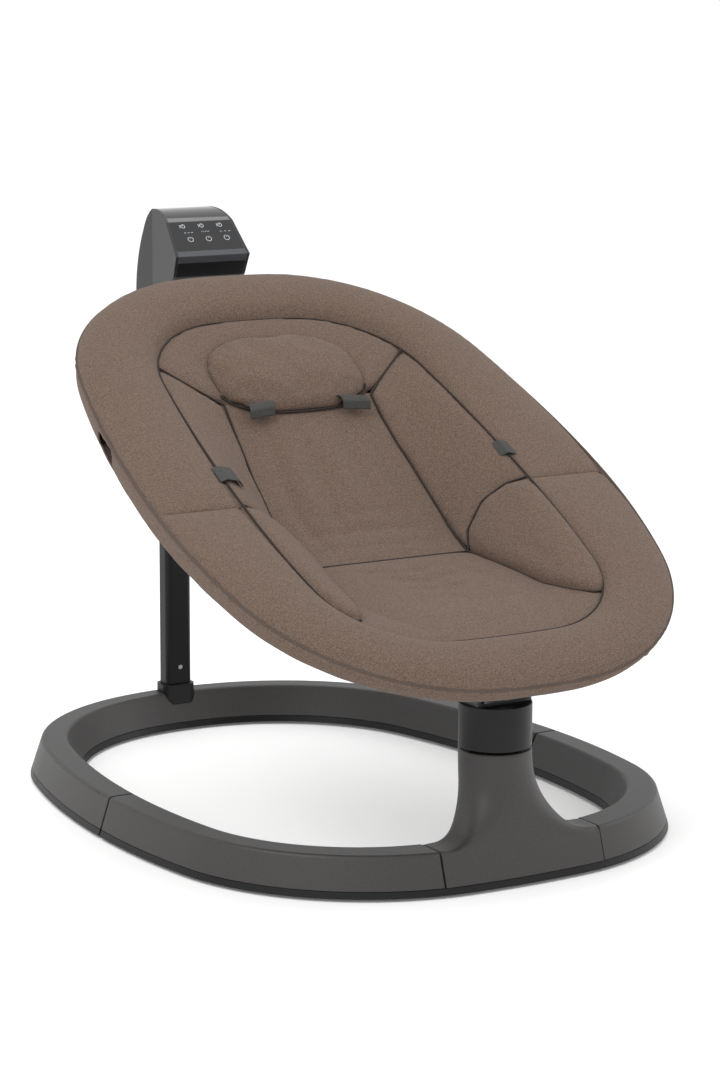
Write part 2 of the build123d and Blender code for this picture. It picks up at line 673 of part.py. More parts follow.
def carrier_solid(margin, bore=0.0):
    """Hub, struts and the long saddle round the frame's front end, grown by margin."""
    hub_v, hub_w = seat_point(TURRET_Y, RECLINE_Z)
    inner = -HUB_HALF_WIDTH + SECTOR_WALL + EAR_GAP
    solid = rod((inner, hub_v, hub_w), (HUB_HALF_WIDTH, hub_v, hub_w), HUB_RADIUS + margin)
    front_v = RIM.mid_y - RIM.front + FRAME_INSET
    for x in (-STRUT_SPREAD, STRUT_SPREAD):
        solid += rod((x, hub_v, hub_w), (x, front_v, FRAME_DEPTH), STRUT_RADIUS + margin)
    half = SADDLE_LENGTH / 2 + margin
    reach = block((-half, half), (-CUT_REACH, 0), (-CUT_REACH, CUT_REACH))
    saddle = sleeve_on(frame_wire(-1), FRAME_RADIUS + SADDLE_WALL + margin, bore) & reach
    if bore:
        solid -= sleeve_on(frame_wire(-1), bore + SADDLE_WALL / 2) & reach
    return solid + saddle


def make_carrier():
    hub_v, hub_w = seat_point(TURRET_Y, RECLINE_Z)
    inner = -HUB_HALF_WIDTH + SECTOR_WALL + EAR_GAP
    lever_v, lever_w = seat_point(TURRET_Y + LEVER_PIVOT[0], RECLINE_Z + LEVER_PIVOT[1])
    lug_x = inner + LUG_WIDTH / 2
    solid = carrier_solid(0, FRAME_RADIUS)
    solid += rod((lug_x, hub_v, hub_w), (lug_x, lever_v, lever_w), LUG_RADIUS)
    boss_end = (inner + LUG_WIDTH, lever_v, lever_w)
    solid += rod((inner, lever_v, lever_w), boss_end, LEVER_PIN_RADIUS + LEVER_BOSS_WALL)
    for v, w, radius in ((hub_v, hub_w, RECLINE_PIN_RADIUS), (lever_v, lever_w, LEVER_PIN_RADIUS)):
        solid -= rod((-CUT_REACH, v, w), (CUT_REACH, v, w), radius + RUNNING_GAP)
    save("seat_carrier", in_seat(solid))


def make_lever():
    """Release lever: a flat plate with a pawl tip, a handle and its own pivot pin."""
    inner = -HUB_HALF_WIDTH + SECTOR_WALL + EAR_GAP
    x_low = -HUB_HALF_WIDTH - EAR_GAP
    pivot_y, pivot_z = LEVER_PIVOT
    tip_y, handle_y = SECTOR_RADIUS + PAWL_GAP, LEVER_REACH
    outline = [
        (tip_y, -2), (tip_y + 5, -2), (pivot_y + 5, pivot_z + 3), (handle_y, pivot_z + 4),
        (handle_y, pivot_z - 2), (pivot_y, pivot_z - 5), (pivot_y - 5, pivot_z), (tip_y + 0.8, -8),
    ]
    profile = make_face(Polyline(*outline, close=True))
    plate = Pos(x_low, 0, 0) * extrude(Plane.YZ * profile, SECTOR_WALL)
    pin = rod((x_low, pivot_y, pivot_z), (inner + LUG_WIDTH, pivot_y, pivot_z), LEVER_PIN_RADIUS)
    grip = block((x_low - 12, x_low + 16), (handle_y - 2, handle_y + 12), (pivot_z - 3, pivot_z + 5))
    save("recline_lever", Pos(0, TURRET_Y, RECLINE_Z) * (plate + pin + grip))


def make_frame():
    spigots = []
    for side in (1, -1):
        x = side * (RIM.half_width - FRAME_INSET)
        bore = FRAME_RADIUS - FRAME_WALL - FIT_GAP
        ends = [(x, reach, FRAME_DEPTH) for reach in (-SPIGOT_REACH, SPIGOT_REACH)]
        spigots.append(in_seat(rod(*ends, bore)))
    save("frame_spigots", Compound(children=spigots))
    for name, sign in (("upper", 1), ("lower", -1)):
        path = frame_wire(sign)
        save(f"seat_frame_{name}", in_seat(sleeve_on(path, FRAME_RADIUS, FRAME_RADIUS - FRAME_WALL)))
    radius = RIM.rear_radii[0] - FRAME_INSET
    angle = degrees(atan2(TOY_BAR_V, radius))
    half = degrees(TOY_BAR_LENGTH / 2 / radius)
    for name, side in (("left", -1), ("right", 1)):
        path = frame_piece(1, 0, angle, half, side)
        sleeve = sleeve_on(path, FRAME_RADIUS + TOY_SLEEVE_WALL, FRAME_RADIUS)
        save(f"toy_bar_sleeve_{name}", in_seat(sleeve))
    rear = RIM.rear - FRAME_INSET
    magnet_y = rear + FRAME_RADIUS + MAGNET_WALL
    depths = (FRAME_DEPTH - CLIP_DROP, FRAME_DEPTH + CLIP_RISE)
    bracket = block((-CLIP_HALF_WIDTH, CLIP_HALF_WIDTH), (rear - CLIP_REACH, magnet_y), depths)
    keep = sleeve_on(frame_piece(1, 2, 90, 3, 1), FRAME_RADIUS)
    magnet = rod((0, magnet_y, FRAME_DEPTH), (0, magnet_y + MAGNET[1], FRAME_DEPTH), MAGNET[0])
    save("magnet_bracket", in_seat(bracket - keep))
    save("drive_magnet", in_seat(magnet))


# ---- Soft goods, drawn in the rim's plane

def make_rim():
    """Padded rim between the bucket's seam and the piped outer edge, in two bands."""
    ring = extrude(oval_face(RIM, 0, RIM_BOTTOM), RIM_TOP - RIM_BOTTOM)
    ring -= extrude(oval_face(BUCKET, -SOFT_GAP, RIM_BOTTOM - 1), RIM_TOP - RIM_BOTTOM + 2)
    wide = (-CUT_REACH, CUT_REACH)
    upper = ring & block(wide, (RIM_SPLIT_V + SOFT_GAP / 2, CUT_REACH), wide)
    lower = ring & block(wide, (-CUT_REACH, RIM_SPLIT_V - SOFT_GAP / 2), wide)
    save("rim_pad_upper", in_seat(upper))
    save("rim_pad_lower", in_seat(lower))


def make_skirt():
    """Cover wrapped round the frame: outer wall, inturned hem, and slots at the sides."""
    top = RIM_BOTTOM - SOFT_GAP
    skirt = leaning_plug(RIM, SKIRT_LEAN, 0, SKIRT_BOTTOM, top)
    skirt -= leaning_plug(RIM, SKIRT_LEAN + SKIRT_WALL, SKIRT_WALL, SKIRT_BOTTOM + SKIRT_WALL, top)
    skirt -= extrude(oval_face(RIM, SKIRT_HEM, SKIRT_BOTTOM - 1), CUT_REACH)
    skirt -= carrier_solid(CARRIER_ROOM)
    slot_v = (TOY_BAR_V - TOY_SLOT_LENGTH / 2, TOY_BAR_V + TOY_SLOT_LENGTH / 2)
    slot_w = (FRAME_DEPTH - FRAME_RADIUS - SLOT_EASE, top + 1)
    inner = RIM.half_width - SKIRT_HEM
    for reach in ((-CUT_REACH, -inner), (inner, CUT_REACH)):
        skirt -= block(reach, slot_v, slot_w)
    save("cover_skirt", in_seat(max(skirt.solids(), key=lambda solid: solid.volume)))


def station_face(v, points):
    """Flat closed section across the seat at a place up the slope."""
    return make_face(Polyline(*[(x, v, w) for x, w in points], close=True))


def lofted(stations):
    return loft([station_face(v, points) for v, points in stations], ruled=True)


def make_bucket():
    for name, rows in (("back_pad", BACK_STATIONS), ("seat_cushion", PAN_STATIONS)):
        stations = []
        for v, h, w in rows:
            low = w - PAD_THICKNESS
            stations.append((v, [(-h, w), (h, w), (h, low), (-h, low)]))
        save(name, in_seat(lofted(stations)))
    wing = [(v, h + 2 * SOFT_GAP, w) for v, h, w in BACK_STATIONS[1:]] + list(WING_TOP)
    hip = [(v, h + 2 * SOFT_GAP, w) for v, h, w in PAN_STATIONS[1:]]
    hip.append((RIM_SPLIT_V - 6, BACK_STATIONS[1][1] + 2 * SOFT_GAP, BACK_STATIONS[1][2]))
    for part, rows in (("side_wing", wing), ("hip_panel", hip)):
        for name, side in (("left", -1), ("right", 1)):
            stations = []
            for v, x, w in rows:
                edge = half_width_at(BUCKET, v, SOFT_GAP)
                section = [(x, w), (edge, 0), (edge, -PAD_THICKNESS), (x, w - PAD_THICKNESS)]
                stations.append((v, [(side * a, b) for a, b in section]))
            save(f"{part}_{name}", in_seat(lofted(stations)))


def pillow_plate(grow, thickness, rise=0):
    """Headrest outline in its own leaning plane."""
    half_x, half_v = PILLOW_SIZE
    plate = Pos(0, 0, rise) * extrude(Ellipse(half_x + grow, half_v + grow), -thickness)
    return Pos(0, PILLOW_V, PILLOW_DEPTH) * Rot(-PILLOW_LEAN, 0, 0) * plate


def make_headrest():
    save("headrest_pillow", in_seat(pillow_plate(0, PILLOW_THICKNESS)))
    (low_v, low_x, _), (high_v, high_x, _) = WING_TOP
    low_v, high_v = low_v + WING_GAP, high_v + WING_GAP
    corners = [(low_x, low_v), (high_x, high_v), (CUT_REACH, high_v), (CUT_REACH, CUT_REACH)]
    corners += [(-x, v) for x, v in reversed(corners)]
    region = extrude(make_face(Polyline(*corners, close=True)), CUT_REACH, both=True)
    surround = extrude(oval_face(BUCKET, SOFT_GAP, -PAD_THICKNESS), PAD_THICKNESS)
    cut = pillow_plate(2 * SOFT_GAP, 6 * PAD_THICKNESS, rise=2 * PAD_THICKNESS)
    save("upper_back_pad", in_seat((surround & region) - cut))


def make_sling():
    """Fabric hammock under the pads, hung from the bucket's seam."""
    drop = PAD_THICKNESS + SLING_DROP
    rows = PAN_STATIONS + BACK_STATIONS[1:] + SLING_TOP
    stations = []
    for v, h, w in rows:
        edge = half_width_at(BUCKET, v, SLING_THICKNESS)
        inner = min(h, edge - PAD_THICKNESS)
        top = [(-edge, -drop), (-inner, w - drop), (inner, w - drop), (edge, -drop)]
        low = [(x, z - SLING_THICKNESS) for x, z in reversed(top)]
        stations.append((v, top + low))
    save("seat_sling", in_seat(lofted(stations)))


def make_loops():
    """Flat webbing loops: two under the pillow and one on each flank."""
    head, flank = [], []
    for side in (1, -1):
        x, v, w = HEAD_LOOP_PLACE
        plate = Box(*HEAD_LOOP_SIZE, WEBBING_THICKNESS)
        head.append(in_seat(Pos(side * x, v, w) * Rot(HEAD_LOOP_LEAN, 0, 0) * plate))
        x, v, w = FLANK_LOOP_PLACE
        plate = Box(*FLANK_LOOP_SIZE, WEBBING_THICKNESS)
        flank.append(in_seat(Pos(side * x, v, w) * Rot(0, -side * FLANK_LOOP_LEAN, 0) * plate))
    save("head_loops", Compound(children=head))
    save("flank_loops", Compound(children=flank))


def main():
    make_ring()
    make_pedestal()
    make_turret()
    make_recline()
    make_post()
    make_head()
    make_carrier()
    make_lever()
    make_frame()
    make_rim()
    make_skirt()
    make_bucket()
    make_headrest()
    make_sling()
    make_loops()


main()
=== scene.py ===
# %% [markdown]
# # Baby swing
# A padded oval seat turns on a front pedestal above an egg-shaped floor ring, and a rear post
# carries the control head.  The hard shells are moulded plastic, the post is powder-coated tube,
# and the seat is a knitted cover sewn in panels over foam and filled rims.  Lengths below are in
# millimetres until a mesh is written, which is in metres.

# %% Setup
import json
import math
import bmesh
import bpy
import numpy as np
from mathutils import Matrix, Vector
from mathutils.kdtree import KDTree


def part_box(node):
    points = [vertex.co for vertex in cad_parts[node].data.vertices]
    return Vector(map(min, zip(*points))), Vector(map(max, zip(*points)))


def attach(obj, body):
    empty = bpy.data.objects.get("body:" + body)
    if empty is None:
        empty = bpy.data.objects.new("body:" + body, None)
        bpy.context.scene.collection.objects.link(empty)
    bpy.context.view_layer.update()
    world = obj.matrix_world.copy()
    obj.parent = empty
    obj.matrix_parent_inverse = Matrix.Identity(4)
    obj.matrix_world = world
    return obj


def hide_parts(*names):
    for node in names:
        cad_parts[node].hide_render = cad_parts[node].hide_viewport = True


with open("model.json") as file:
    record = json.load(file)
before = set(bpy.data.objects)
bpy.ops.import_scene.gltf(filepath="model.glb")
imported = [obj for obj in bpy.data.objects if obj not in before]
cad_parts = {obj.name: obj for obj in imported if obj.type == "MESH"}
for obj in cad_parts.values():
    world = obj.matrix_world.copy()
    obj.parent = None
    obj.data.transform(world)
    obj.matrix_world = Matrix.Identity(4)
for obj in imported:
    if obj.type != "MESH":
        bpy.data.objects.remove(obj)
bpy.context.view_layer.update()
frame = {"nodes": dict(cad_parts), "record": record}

SEAT_ORIGIN = np.array([0.0, -85.0, 333.0])
SEAT_TILT = math.radians(26.6)
RIM = (0, 250, 365, 312, (1000, 200, 900), (640, 212, 900))
BUCKET = (-28, 160, 316, 214, (1900, 110, 900), (1060, 106, 1150))
SPLIT_V = -12


def to_row(points):
    """Rim-plane points (across, up the slope, out of the plane) turned into the row frame, in metres."""
    p = np.asarray(points, float)
    c, s = math.cos(SEAT_TILT), math.sin(SEAT_TILT)
    turned = np.stack([p[..., 0], p[..., 1] * c - p[..., 2] * s, p[..., 1] * s + p[..., 2] * c], -1)
    return (turned + SEAT_ORIGIN) / 1000


def add_mesh(name, verts, faces, smooth=True):
    """One object from an array of points in metres and a list of faces."""
    data = bpy.data.meshes.new(name)
    data.from_pydata(np.asarray(verts).reshape(-1, 3).tolist(), [], [list(map(int, f)) for f in faces])
    data.validate()
    data.update()
    obj = bpy.data.objects.new(name, data)
    bpy.context.scene.collection.objects.link(obj)
    data.polygons.foreach_set("use_smooth", [smooth] * len(data.polygons))
    return obj


def grid_faces(rows, cols, wrap_rows=False, wrap_cols=False, start=0):
    """Quads joining a rows by cols lattice of points, optionally closed either way."""
    i = np.arange(rows if wrap_rows else rows - 1)
    j = np.arange(cols if wrap_cols else cols - 1)
    a, b = np.meshgrid(i, j, indexing="ij")
    c, d = (a + 1) % rows, (b + 1) % cols
    quads = np.stack([a * cols + b, a * cols + d, c * cols + d, c * cols + b], -1)
    return quads.reshape(-1, 4) + start


def quarter(half_width, length, radii):
    side_r, corner_r, end_r = radii
    side, end = np.array([half_width - side_r, 0.0]), np.array([0.0, length - end_r])
    gap = np.hypot(*(end - side))
    along = ((side_r - corner_r) ** 2 - (end_r - corner_r) ** 2 + gap ** 2) / (2 * gap)
    off = math.sqrt((side_r - corner_r) ** 2 - along ** 2)
    u = (end - side) / gap
    picks = [side + u * along + s * off * np.array([-u[1], u[0]]) for s in (1, -1)]
    return side, max(picks, key=lambda p: p.sum()), end


def oval_quarter(oval, sign, count=240):
    """Dense points of the right-hand quarter, from the side to the rear (1) or front (-1)."""
    mid, half, rear, front, rear_radii, front_radii = oval
    radii = rear_radii if sign > 0 else front_radii
    side, corner, end = quarter(half, rear if sign > 0 else front, radii)
    first = math.atan2(corner[1] - side[1], corner[0] - side[0])
    second = math.atan2(corner[1] - end[1], corner[0] - end[0])
    spans = (
        (side, radii[0], 0.0, first), (corner, radii[1], first, second), (end, radii[2], second, math.pi / 2))
    parts = []
    for centre, radius, low, high in spans:
        a = np.linspace(low, high, count)
        across, along = centre[0] + radius * np.cos(a), centre[1] + radius * np.sin(a)
        parts.append(np.stack([across, mid + sign * along], -1))
    return np.concatenate(parts)


def oval_loop(oval, count, turn=0.0):
    """Closed oval as count points evenly spaced by length, from the right side counter-clockwise."""
    rear, front = oval_quarter(oval, 1), oval_quarter(oval, -1)
    flip = np.array([-1, 1])
    loop = np.concatenate([rear, (rear * flip)[::-1], front * flip, front[::-1]])
    step = np.hypot(*np.diff(loop, axis=0, append=loop[:1]).T)
    length = np.concatenate([[0], np.cumsum(step)])
    at = (np.arange(count) + turn) / count * length[-1]
    closed = np.concatenate([loop, loop[:1]])
    return np.stack([np.interp(at, length, closed[:, k]) for k in (0, 1)], -1)


def resample(points, count):
    """A polyline of any dimension, given again as count points evenly spaced along it."""
    p = np.asarray(points, float)
    length = np.concatenate([[0], np.cumsum(np.linalg.norm(np.diff(p, axis=0), axis=1))])
    at = np.linspace(0, length[-1], count)
    return np.stack([np.interp(at, length, p[:, k]) for k in range(p.shape[1])], -1)


def smooth_curve(points, count, passes=60):
    """Listed points rounded into an even curve with the same ends."""
    p = resample(points, 200)
    for _ in range(passes):
        p[1:-1] = p[1:-1] * 0.5 + (p[:-2] + p[2:]) * 0.25
    return resample(p, count)


def edge_between(v_low, v_high, side=1):
    """The bucket's seam between two places up the slope, on the right (1) or left (-1)."""
    loop = np.concatenate([oval_quarter(BUCKET, -1)[::-1], oval_quarter(BUCKET, 1)])
    keep = loop[(loop[:, 1] >= v_low) & (loop[:, 1] <= v_high)]
    return np.column_stack([side * keep[:, 0], keep[:, 1], np.zeros(len(keep))])


seam_steps = np.linalg.norm(np.diff(oval_loop(BUCKET, 400), axis=0), axis=1)
print("seam length", round(float(seam_steps.sum())), "mm")

# %% [markdown]
# ## Soft pieces
# The cover is cut in panels and sewn over foam, so each panel swells between its seams.  A panel is
# drawn as a four-sided patch blended between its boundary curves, crowned and closed with a thin
# back, and then blown up by a few millimetres as cloth under pressure.  The crown is drawn; the
# cloth step only evens it out, and the soft folds are pressed in afterwards along drawn lines.

# %% Patches and the cloth step
def coons(low, high, start, stop):
    """Bilinear Coons patch: low and high are rows (u = 0, 1), start and stop columns (t = 0, 1).

    point = mix of low and high by u + mix of start and stop by t - bilinear mix of the corners.
    """
    u = np.linspace(0, 1, len(start))[:, None, None]
    t = np.linspace(0, 1, len(low))[None, :, None]
    ruled_u = (1 - u) * low[None] + u * high[None]
    ruled_t = (1 - t) * start[:, None] + t * stop[:, None]
    corners = (1 - u) * ((1 - t) * low[0] + t * low[-1]) + u * ((1 - t) * high[0] + t * high[-1])
    return ruled_u + ruled_t - corners


def normals_of(p, up=(0, 0, 1)):
    """Unit normals of a lattice of points, all on the side of up."""
    du, dt = np.gradient(p, axis=0), np.gradient(p, axis=1)
    n = np.cross(du, dt)
    length = np.linalg.norm(n, axis=-1, keepdims=True)
    n = n / np.maximum(length, 1e-9)
    sign = np.sign((n * np.array(up)).sum(-1, keepdims=True))
    n = n * np.where(sign == 0, 1, sign)
    flat = length[..., 0] < 1e-6
    n[flat] = np.array(up)
    return n


def grown(base, margin):
    """A lattice with its outer rows and columns moved outwards by margin, where they have a direction."""
    p = base.copy()
    for edge, inner in ((0, 1), (-1, -2)):
        for view in (p, p.swapaxes(0, 1)):
            away = view[edge] - view[inner]
            length = np.linalg.norm(away, axis=-1, keepdims=True)
            view[edge] += np.where(length > 0.05, away / np.maximum(length, 1e-9), 0) * margin
    return p


def pad(name, base, rise, depth, sink=2.0, sharp=6, margin=2.0):
    """Closed crowned panel on a patch, with upright walls under its seams.

    top = base + normal * (rise * e - sink) and back = base - normal * depth, where
    e = sqrt((1 - |2u-1|^sharp)(1 - |2t-1|^sharp)) falls to 0 on the seams.
    """
    rows, cols = base.shape[:2]
    u = np.linspace(-1, 1, rows)[:, None]
    t = np.linspace(-1, 1, cols)[None, :]
    e = np.sqrt(np.clip((1 - np.abs(u) ** sharp) * (1 - np.abs(t) ** sharp), 0, 1))[..., None]
    n = normals_of(base)
    base = grown(base, margin)
    top = base + n * (np.asarray(rise) * e - sink)
    back = base - n * depth
    verts = np.concatenate([top.reshape(-1, 3), back.reshape(-1, 3)])
    index = np.arange(rows * cols).reshape(rows, cols)
    ring = np.concatenate([index[0], index[1:, -1], index[-1, ::-1][1:], index[::-1, 0][1:-1]])
    after = np.roll(ring, -1)
    wall = np.stack([ring, ring + rows * cols, after + rows * cols, after], -1)
    faces = [grid_faces(rows, cols), grid_faces(rows, cols, start=rows * cols)[:, ::-1], wall]
    obj = add_mesh(name, to_row(verts), np.concatenate(faces))
    weld_and_face_out(obj)
    return obj


def weld_and_face_out(obj, gap=2e-5):
    """Close doubled seam points and turn every face outwards."""
    bm = bmesh.new()
    bm.from_mesh(obj.data)
    bmesh.ops.remove_doubles(bm, verts=bm.verts, dist=gap)
    bmesh.ops.dissolve_degenerate(bm, edges=bm.edges, dist=gap)
    bmesh.ops.recalc_face_normals(bm, faces=bm.faces)
    bm.to_mesh(obj.data)
    bm.free()
    obj.data.polygons.foreach_set("use_smooth", [True] * len(obj.data.polygons))


def coords(obj):
    flat = np.empty(len(obj.data.vertices) * 3)
    obj.data.vertices.foreach_get("co", flat)
    return flat.reshape(-1, 3)


def set_coords(obj, points):
    obj.data.vertices.foreach_set("co", np.asarray(points, float).ravel())
    obj.data.update()


def apply_all(obj):
    """Replace an object's mesh with its modified one."""
    graph = bpy.context.evaluated_depsgraph_get()
    fresh = bpy.data.meshes.new_from_object(obj.evaluated_get(graph))
    obj.modifiers.clear()
    old = obj.data
    obj.data = fresh
    bpy.data.meshes.remove(old)
    obj.data.polygons.foreach_set("use_smooth", [True] * len(obj.data.polygons))


def plump(obj, hold, pressure=4.0, frames=18, voxel=0.0055, cap=0.006, slack=0.0, bend=0.6):
    """Blow a closed panel up as cloth held at its seam, then round it with one subdivision.

    hold is a function giving 1 at points that stay and 0 at points that swell.
    """
    remesh = obj.modifiers.new("remesh", "REMESH")
    remesh.mode = "VOXEL"
    remesh.voxel_size = voxel
    apply_all(obj)
    start = coords(obj)
    group = obj.vertex_groups.new(name="seam")
    weight = np.clip(hold(start), 0, 1)
    for level in range(1, 11):
        picked = np.nonzero(np.rint(weight * 10) == level)[0]
        if len(picked):
            group.add(picked.tolist(), level / 10, "REPLACE")
    cloth = obj.modifiers.new("cloth", "CLOTH")
    s = cloth.settings
    s.quality, s.mass, s.time_scale = 5, 0.25, 1.0
    s.tension_stiffness = s.compression_stiffness = 12
    s.shear_stiffness, s.bending_stiffness = 6, bend
    s.use_pressure, s.uniform_pressure_force = True, pressure
    s.vertex_group_mass = "seam"
    s.shrink_min = -slack
    s.effector_weights.gravity = 0
    cloth.point_cache.frame_start, cloth.point_cache.frame_end = 1, frames
    scene = bpy.context.scene
    for step in range(1, frames + 1):
        scene.frame_set(step)
    apply_all(obj)
    moved = coords(obj) - start
    size = np.linalg.norm(moved, axis=1, keepdims=True)
    moved *= np.minimum(1, cap / np.maximum(size, 1e-9))
    set_coords(obj, start + moved)
    scene.frame_set(1)
    obj.vertex_groups.clear()
    print(obj.name, "swelled", round(float(np.minimum(size, cap).max()) * 1000, 1), "mm")
    sub = obj.modifiers.new("round", "SUBSURF")
    sub.levels = sub.render_levels = 1
    return obj


def near_curve(curve, reach):
    """Hold function: 1 on a curve of row-frame points, falling to 0 at reach from it."""
    dense = resample(curve, 1200)
    tree = KDTree(len(dense))
    for k, point in enumerate(dense):
        tree.insert(point, k)
    tree.balance()

    def hold(points):
        away = np.array([tree.find(Vector(p))[2] for p in points])
        return np.clip(1.6 - 1.6 * away / reach, 0, 1)
    return hold


def border(base):
    """Closed boundary of a lattice, in the row frame."""
    ring = np.concatenate([base[0], base[1:, -1], base[-1, ::-1][1:], base[::-1, 0][1:]])
    return to_row(ring)


def wrinkle(obj, folds):
    """Soft folds pressed into a panel: each lowers or lifts the surface along a curved line.

    lift = height * exp(-(distance to the line / width)^2), fading out towards both ends.
    """
    start = coords(obj)
    c, s = math.cos(SEAT_TILT), math.sin(SEAT_TILT)
    local = start * 1000 - SEAT_ORIGIN
    place = np.stack([local[:, 0], local[:, 1] * c + local[:, 2] * s], -1)
    lift = np.zeros(len(start))
    for line, width, height in folds:
        path = smooth_curve(np.array(line, float), 80, 40)
        away = np.hypot(*(place[:, None] - path[None]).transpose(2, 0, 1))
        nearest = away.argmin(axis=1)
        fade = np.sin(math.pi * (nearest + 0.5) / len(path)) ** 0.6
        lift += height * fade * np.exp(-(away.min(axis=1) / width) ** 2)
    set_coords(obj, start + lift[:, None] / 1000 * np.array([0, -s, c]))


print("patch tools ready")

# %% [markdown]
# ## Bucket
# The middle of the bucket is two plain panels, back and seat, that meet in the deep fold.  Side
# wings and leaf-shaped hip panels slope up from them to the rim's inner seam, and a crescent over
# the top frames the headrest pillow.

# %% Bucket panels
BACK_EDGE = np.array([
    (84, 172, -19), (85, 144, -29), (87, 114, -37), (90, 81, -45), (91, 52, -51), (93, 26, -57),
    (92, 0, -61), (91, -21, -62), (88, -46, -58)], float)
HIP_EDGE = np.array([
    (88, -46, -58), (95, -78, -48), (101, -105, -39), (108, -140, -29), (118, -172, -14),
    (129, -196, -1)], float)
DEEP, SIDE_SEAM = BACK_EDGE[-1], np.array([159.5, SPLIT_V, 0.0])
V_CORNER, DART = np.array([131.5, 218.0, 0.0]), HIP_EDGE[-1]
MIRROR = np.array([-1.0, 1.0, 1.0])
TUCK = 12.0
N = 36


def seam_side(low, high):
    return resample(edge_between(low, high), N)


def wing_patch():
    inner = smooth_curve(BACK_EDGE[::-1], N, 8)
    outer = seam_side(SPLIT_V, V_CORNER[1])
    low = smooth_curve([DEEP, (97, -24, -50), (119, -5, -30), (141, -4, -13), outer[0]], N, 30)
    high = smooth_curve([inner[-1], (104, 190, -13), outer[-1]], N, 10)
    return coons(low, high, inner, outer)


def hip_patch():
    inner = smooth_curve(HIP_EDGE, N, 8)
    outer = seam_side(DART[1], SPLIT_V)[::-1]
    inner[-1] = outer[-1]
    low = smooth_curve([DEEP, (97, -24, -50), (119, -5, -30), (141, -4, -13), outer[0]], N, 30)
    high = np.repeat(outer[-1:], N, axis=0)
    return coons(low, high, inner, outer)


def back_patch():
    right = smooth_curve(BACK_EDGE[::-1], N, 8)
    left = right * MIRROR
    low = np.linspace(left[0], right[0], N)
    high = np.linspace(left[-1], right[-1], N)
    return coons(low, high, left, right)


def seat_patch():
    right = smooth_curve(HIP_EDGE, N, 8)
    left = right * MIRROR
    low = np.linspace(left[0], right[0], N)
    loop = oval_quarter(BUCKET, -1)
    front = loop[loop[:, 1] <= DART[1]]
    front = np.concatenate([front * (-1, 1), front[::-1]])
    high = resample(np.column_stack([front, np.full(len(front), -1.0)]), N)
    right[-1], left[-1] = high[-1], high[0]
    return coons(low, high, left, right)


def pillow_outline(count):
    """Rounded headrest outline: a superellipse, taller above its middle than below."""
    a = np.linspace(-math.pi / 2, 1.5 * math.pi, count, endpoint=False)
    c, s = np.cos(a), np.sin(a)
    power = 2 / 2.6
    x = 86 * np.sign(c) * np.abs(c) ** power
    v = 202 + np.where(s > 0, 57, 47) * np.sign(s) * np.abs(s) ** power
    return np.stack([x, v], -1)


def pillow_depth(v):
    """Depth of the headrest's face: shallow at the top seam, deep at its lower edge."""
    return np.interp(v, (155, 259), (-21.0, -3.0))


def crescent_patch():
    """Strip between the headrest's outline and the bucket's seam; its ends run on under the wings."""
    right = oval_quarter(BUCKET, 1)
    outer = np.concatenate([right, (right * (-1, 1))[::-1]])
    outer = outer[outer[:, 1] >= V_CORNER[1] - TUCK]
    tucked = -4 * np.clip((V_CORNER[1] + 3 - outer[:, 1]) / 6, 0, 1)
    outer = resample(np.column_stack([outer, tucked]), 120)
    a = np.radians(np.linspace(-58, 238, 300))
    power = 2 / 2.6
    x = 80 * np.sign(np.cos(a)) * np.abs(np.cos(a)) ** power
    v = 200 + np.where(np.sin(a) > 0, 52, 42) * np.sign(np.sin(a)) * np.abs(np.sin(a)) ** power
    inner = resample(np.column_stack([x, v, pillow_depth(v) - 2 - 5 * np.clip((178 - v) / 16, 0, 1)]), 120)
    start = np.linspace(inner[0], outer[0], 20)
    stop = np.linspace(inner[-1], outer[-1], 20)
    return coons(inner, outer, start, stop)


soft = {}
panels = (
    ("back_pad", back_patch(), 3.0, 9.0, 0.003),
    ("seat_cushion", seat_patch(), 7.0, 9.0, 0.006),
    ("upper_back_pad", crescent_patch(), 6.0, 8.0, 0.004),
    ("side_wing_right", wing_patch(), 6.0, 9.0, 0.004),
    ("hip_panel_right", hip_patch(), 11.0, 8.0, 0.005),
    ("side_wing_left", wing_patch() * MIRROR, 6.0, 9.0, 0.004),
    ("hip_panel_left", hip_patch() * MIRROR, 11.0, 8.0, 0.005),
)
# Each fold: its line across the panel, its width and its height, in millimetres
FOLDS = {
    "back_pad": (
        (((-52, 146), (-60, 80), (-66, 20), (-52, -22)), 5.0, -3.6),
        (((-34, 132), (-42, 70), (-46, 0)), 6.5, 2.4),
        (((-14, 124), (-20, 60), (-30, -16)), 5.0, -3.2),
        (((12, 128), (6, 70), (10, 0)), 8.0, 2.2),
        (((38, 142), (28, 80), (34, 0)), 5.0, -3.2),
        (((62, 132), (64, 60), (56, -16)), 5.5, -2.6),
    ),
    "seat_cushion": (
        (((-66, -72), (-20, -86), (44, -78)), 5.0, -3.2),
        (((-40, -106), (-4, -116), (30, -102), (52, -112)), 5.0, -4.0),
        (((-34, -130), (10, -136), (50, -124)), 5.5, -3.0),
        (((0, -66), (8, -96), (0, -132)), 5.5, -2.6),
        (((34, -70), (60, -100), (74, -144)), 5.5, -3.0),
        (((-50, -92), (-10, -99), (24, -91)), 6.0, 2.2),
    ),
    "hip_panel_left": ((((-120, -150), (-116, -110), (-110, -70)), 6.0, -1.6),),
    "hip_panel_right": ((((120, -150), (116, -110), (110, -70)), 6.0, -1.6),),
}
for name, base, rise, depth, cap in panels:
    obj = pad("soft_" + name, base, rise, depth, margin=6.0 if name in ("back_pad", "seat_cushion") else 2.0)
    plump(obj, near_curve(border(base), 0.010), cap=cap)
    wrinkle(obj, FOLDS.get(name, ()))
    soft[name] = obj

# %% [markdown]
# ## Headrest pillow
# A loose, well-filled pillow gathered along its lower edge, with short drawn creases there.

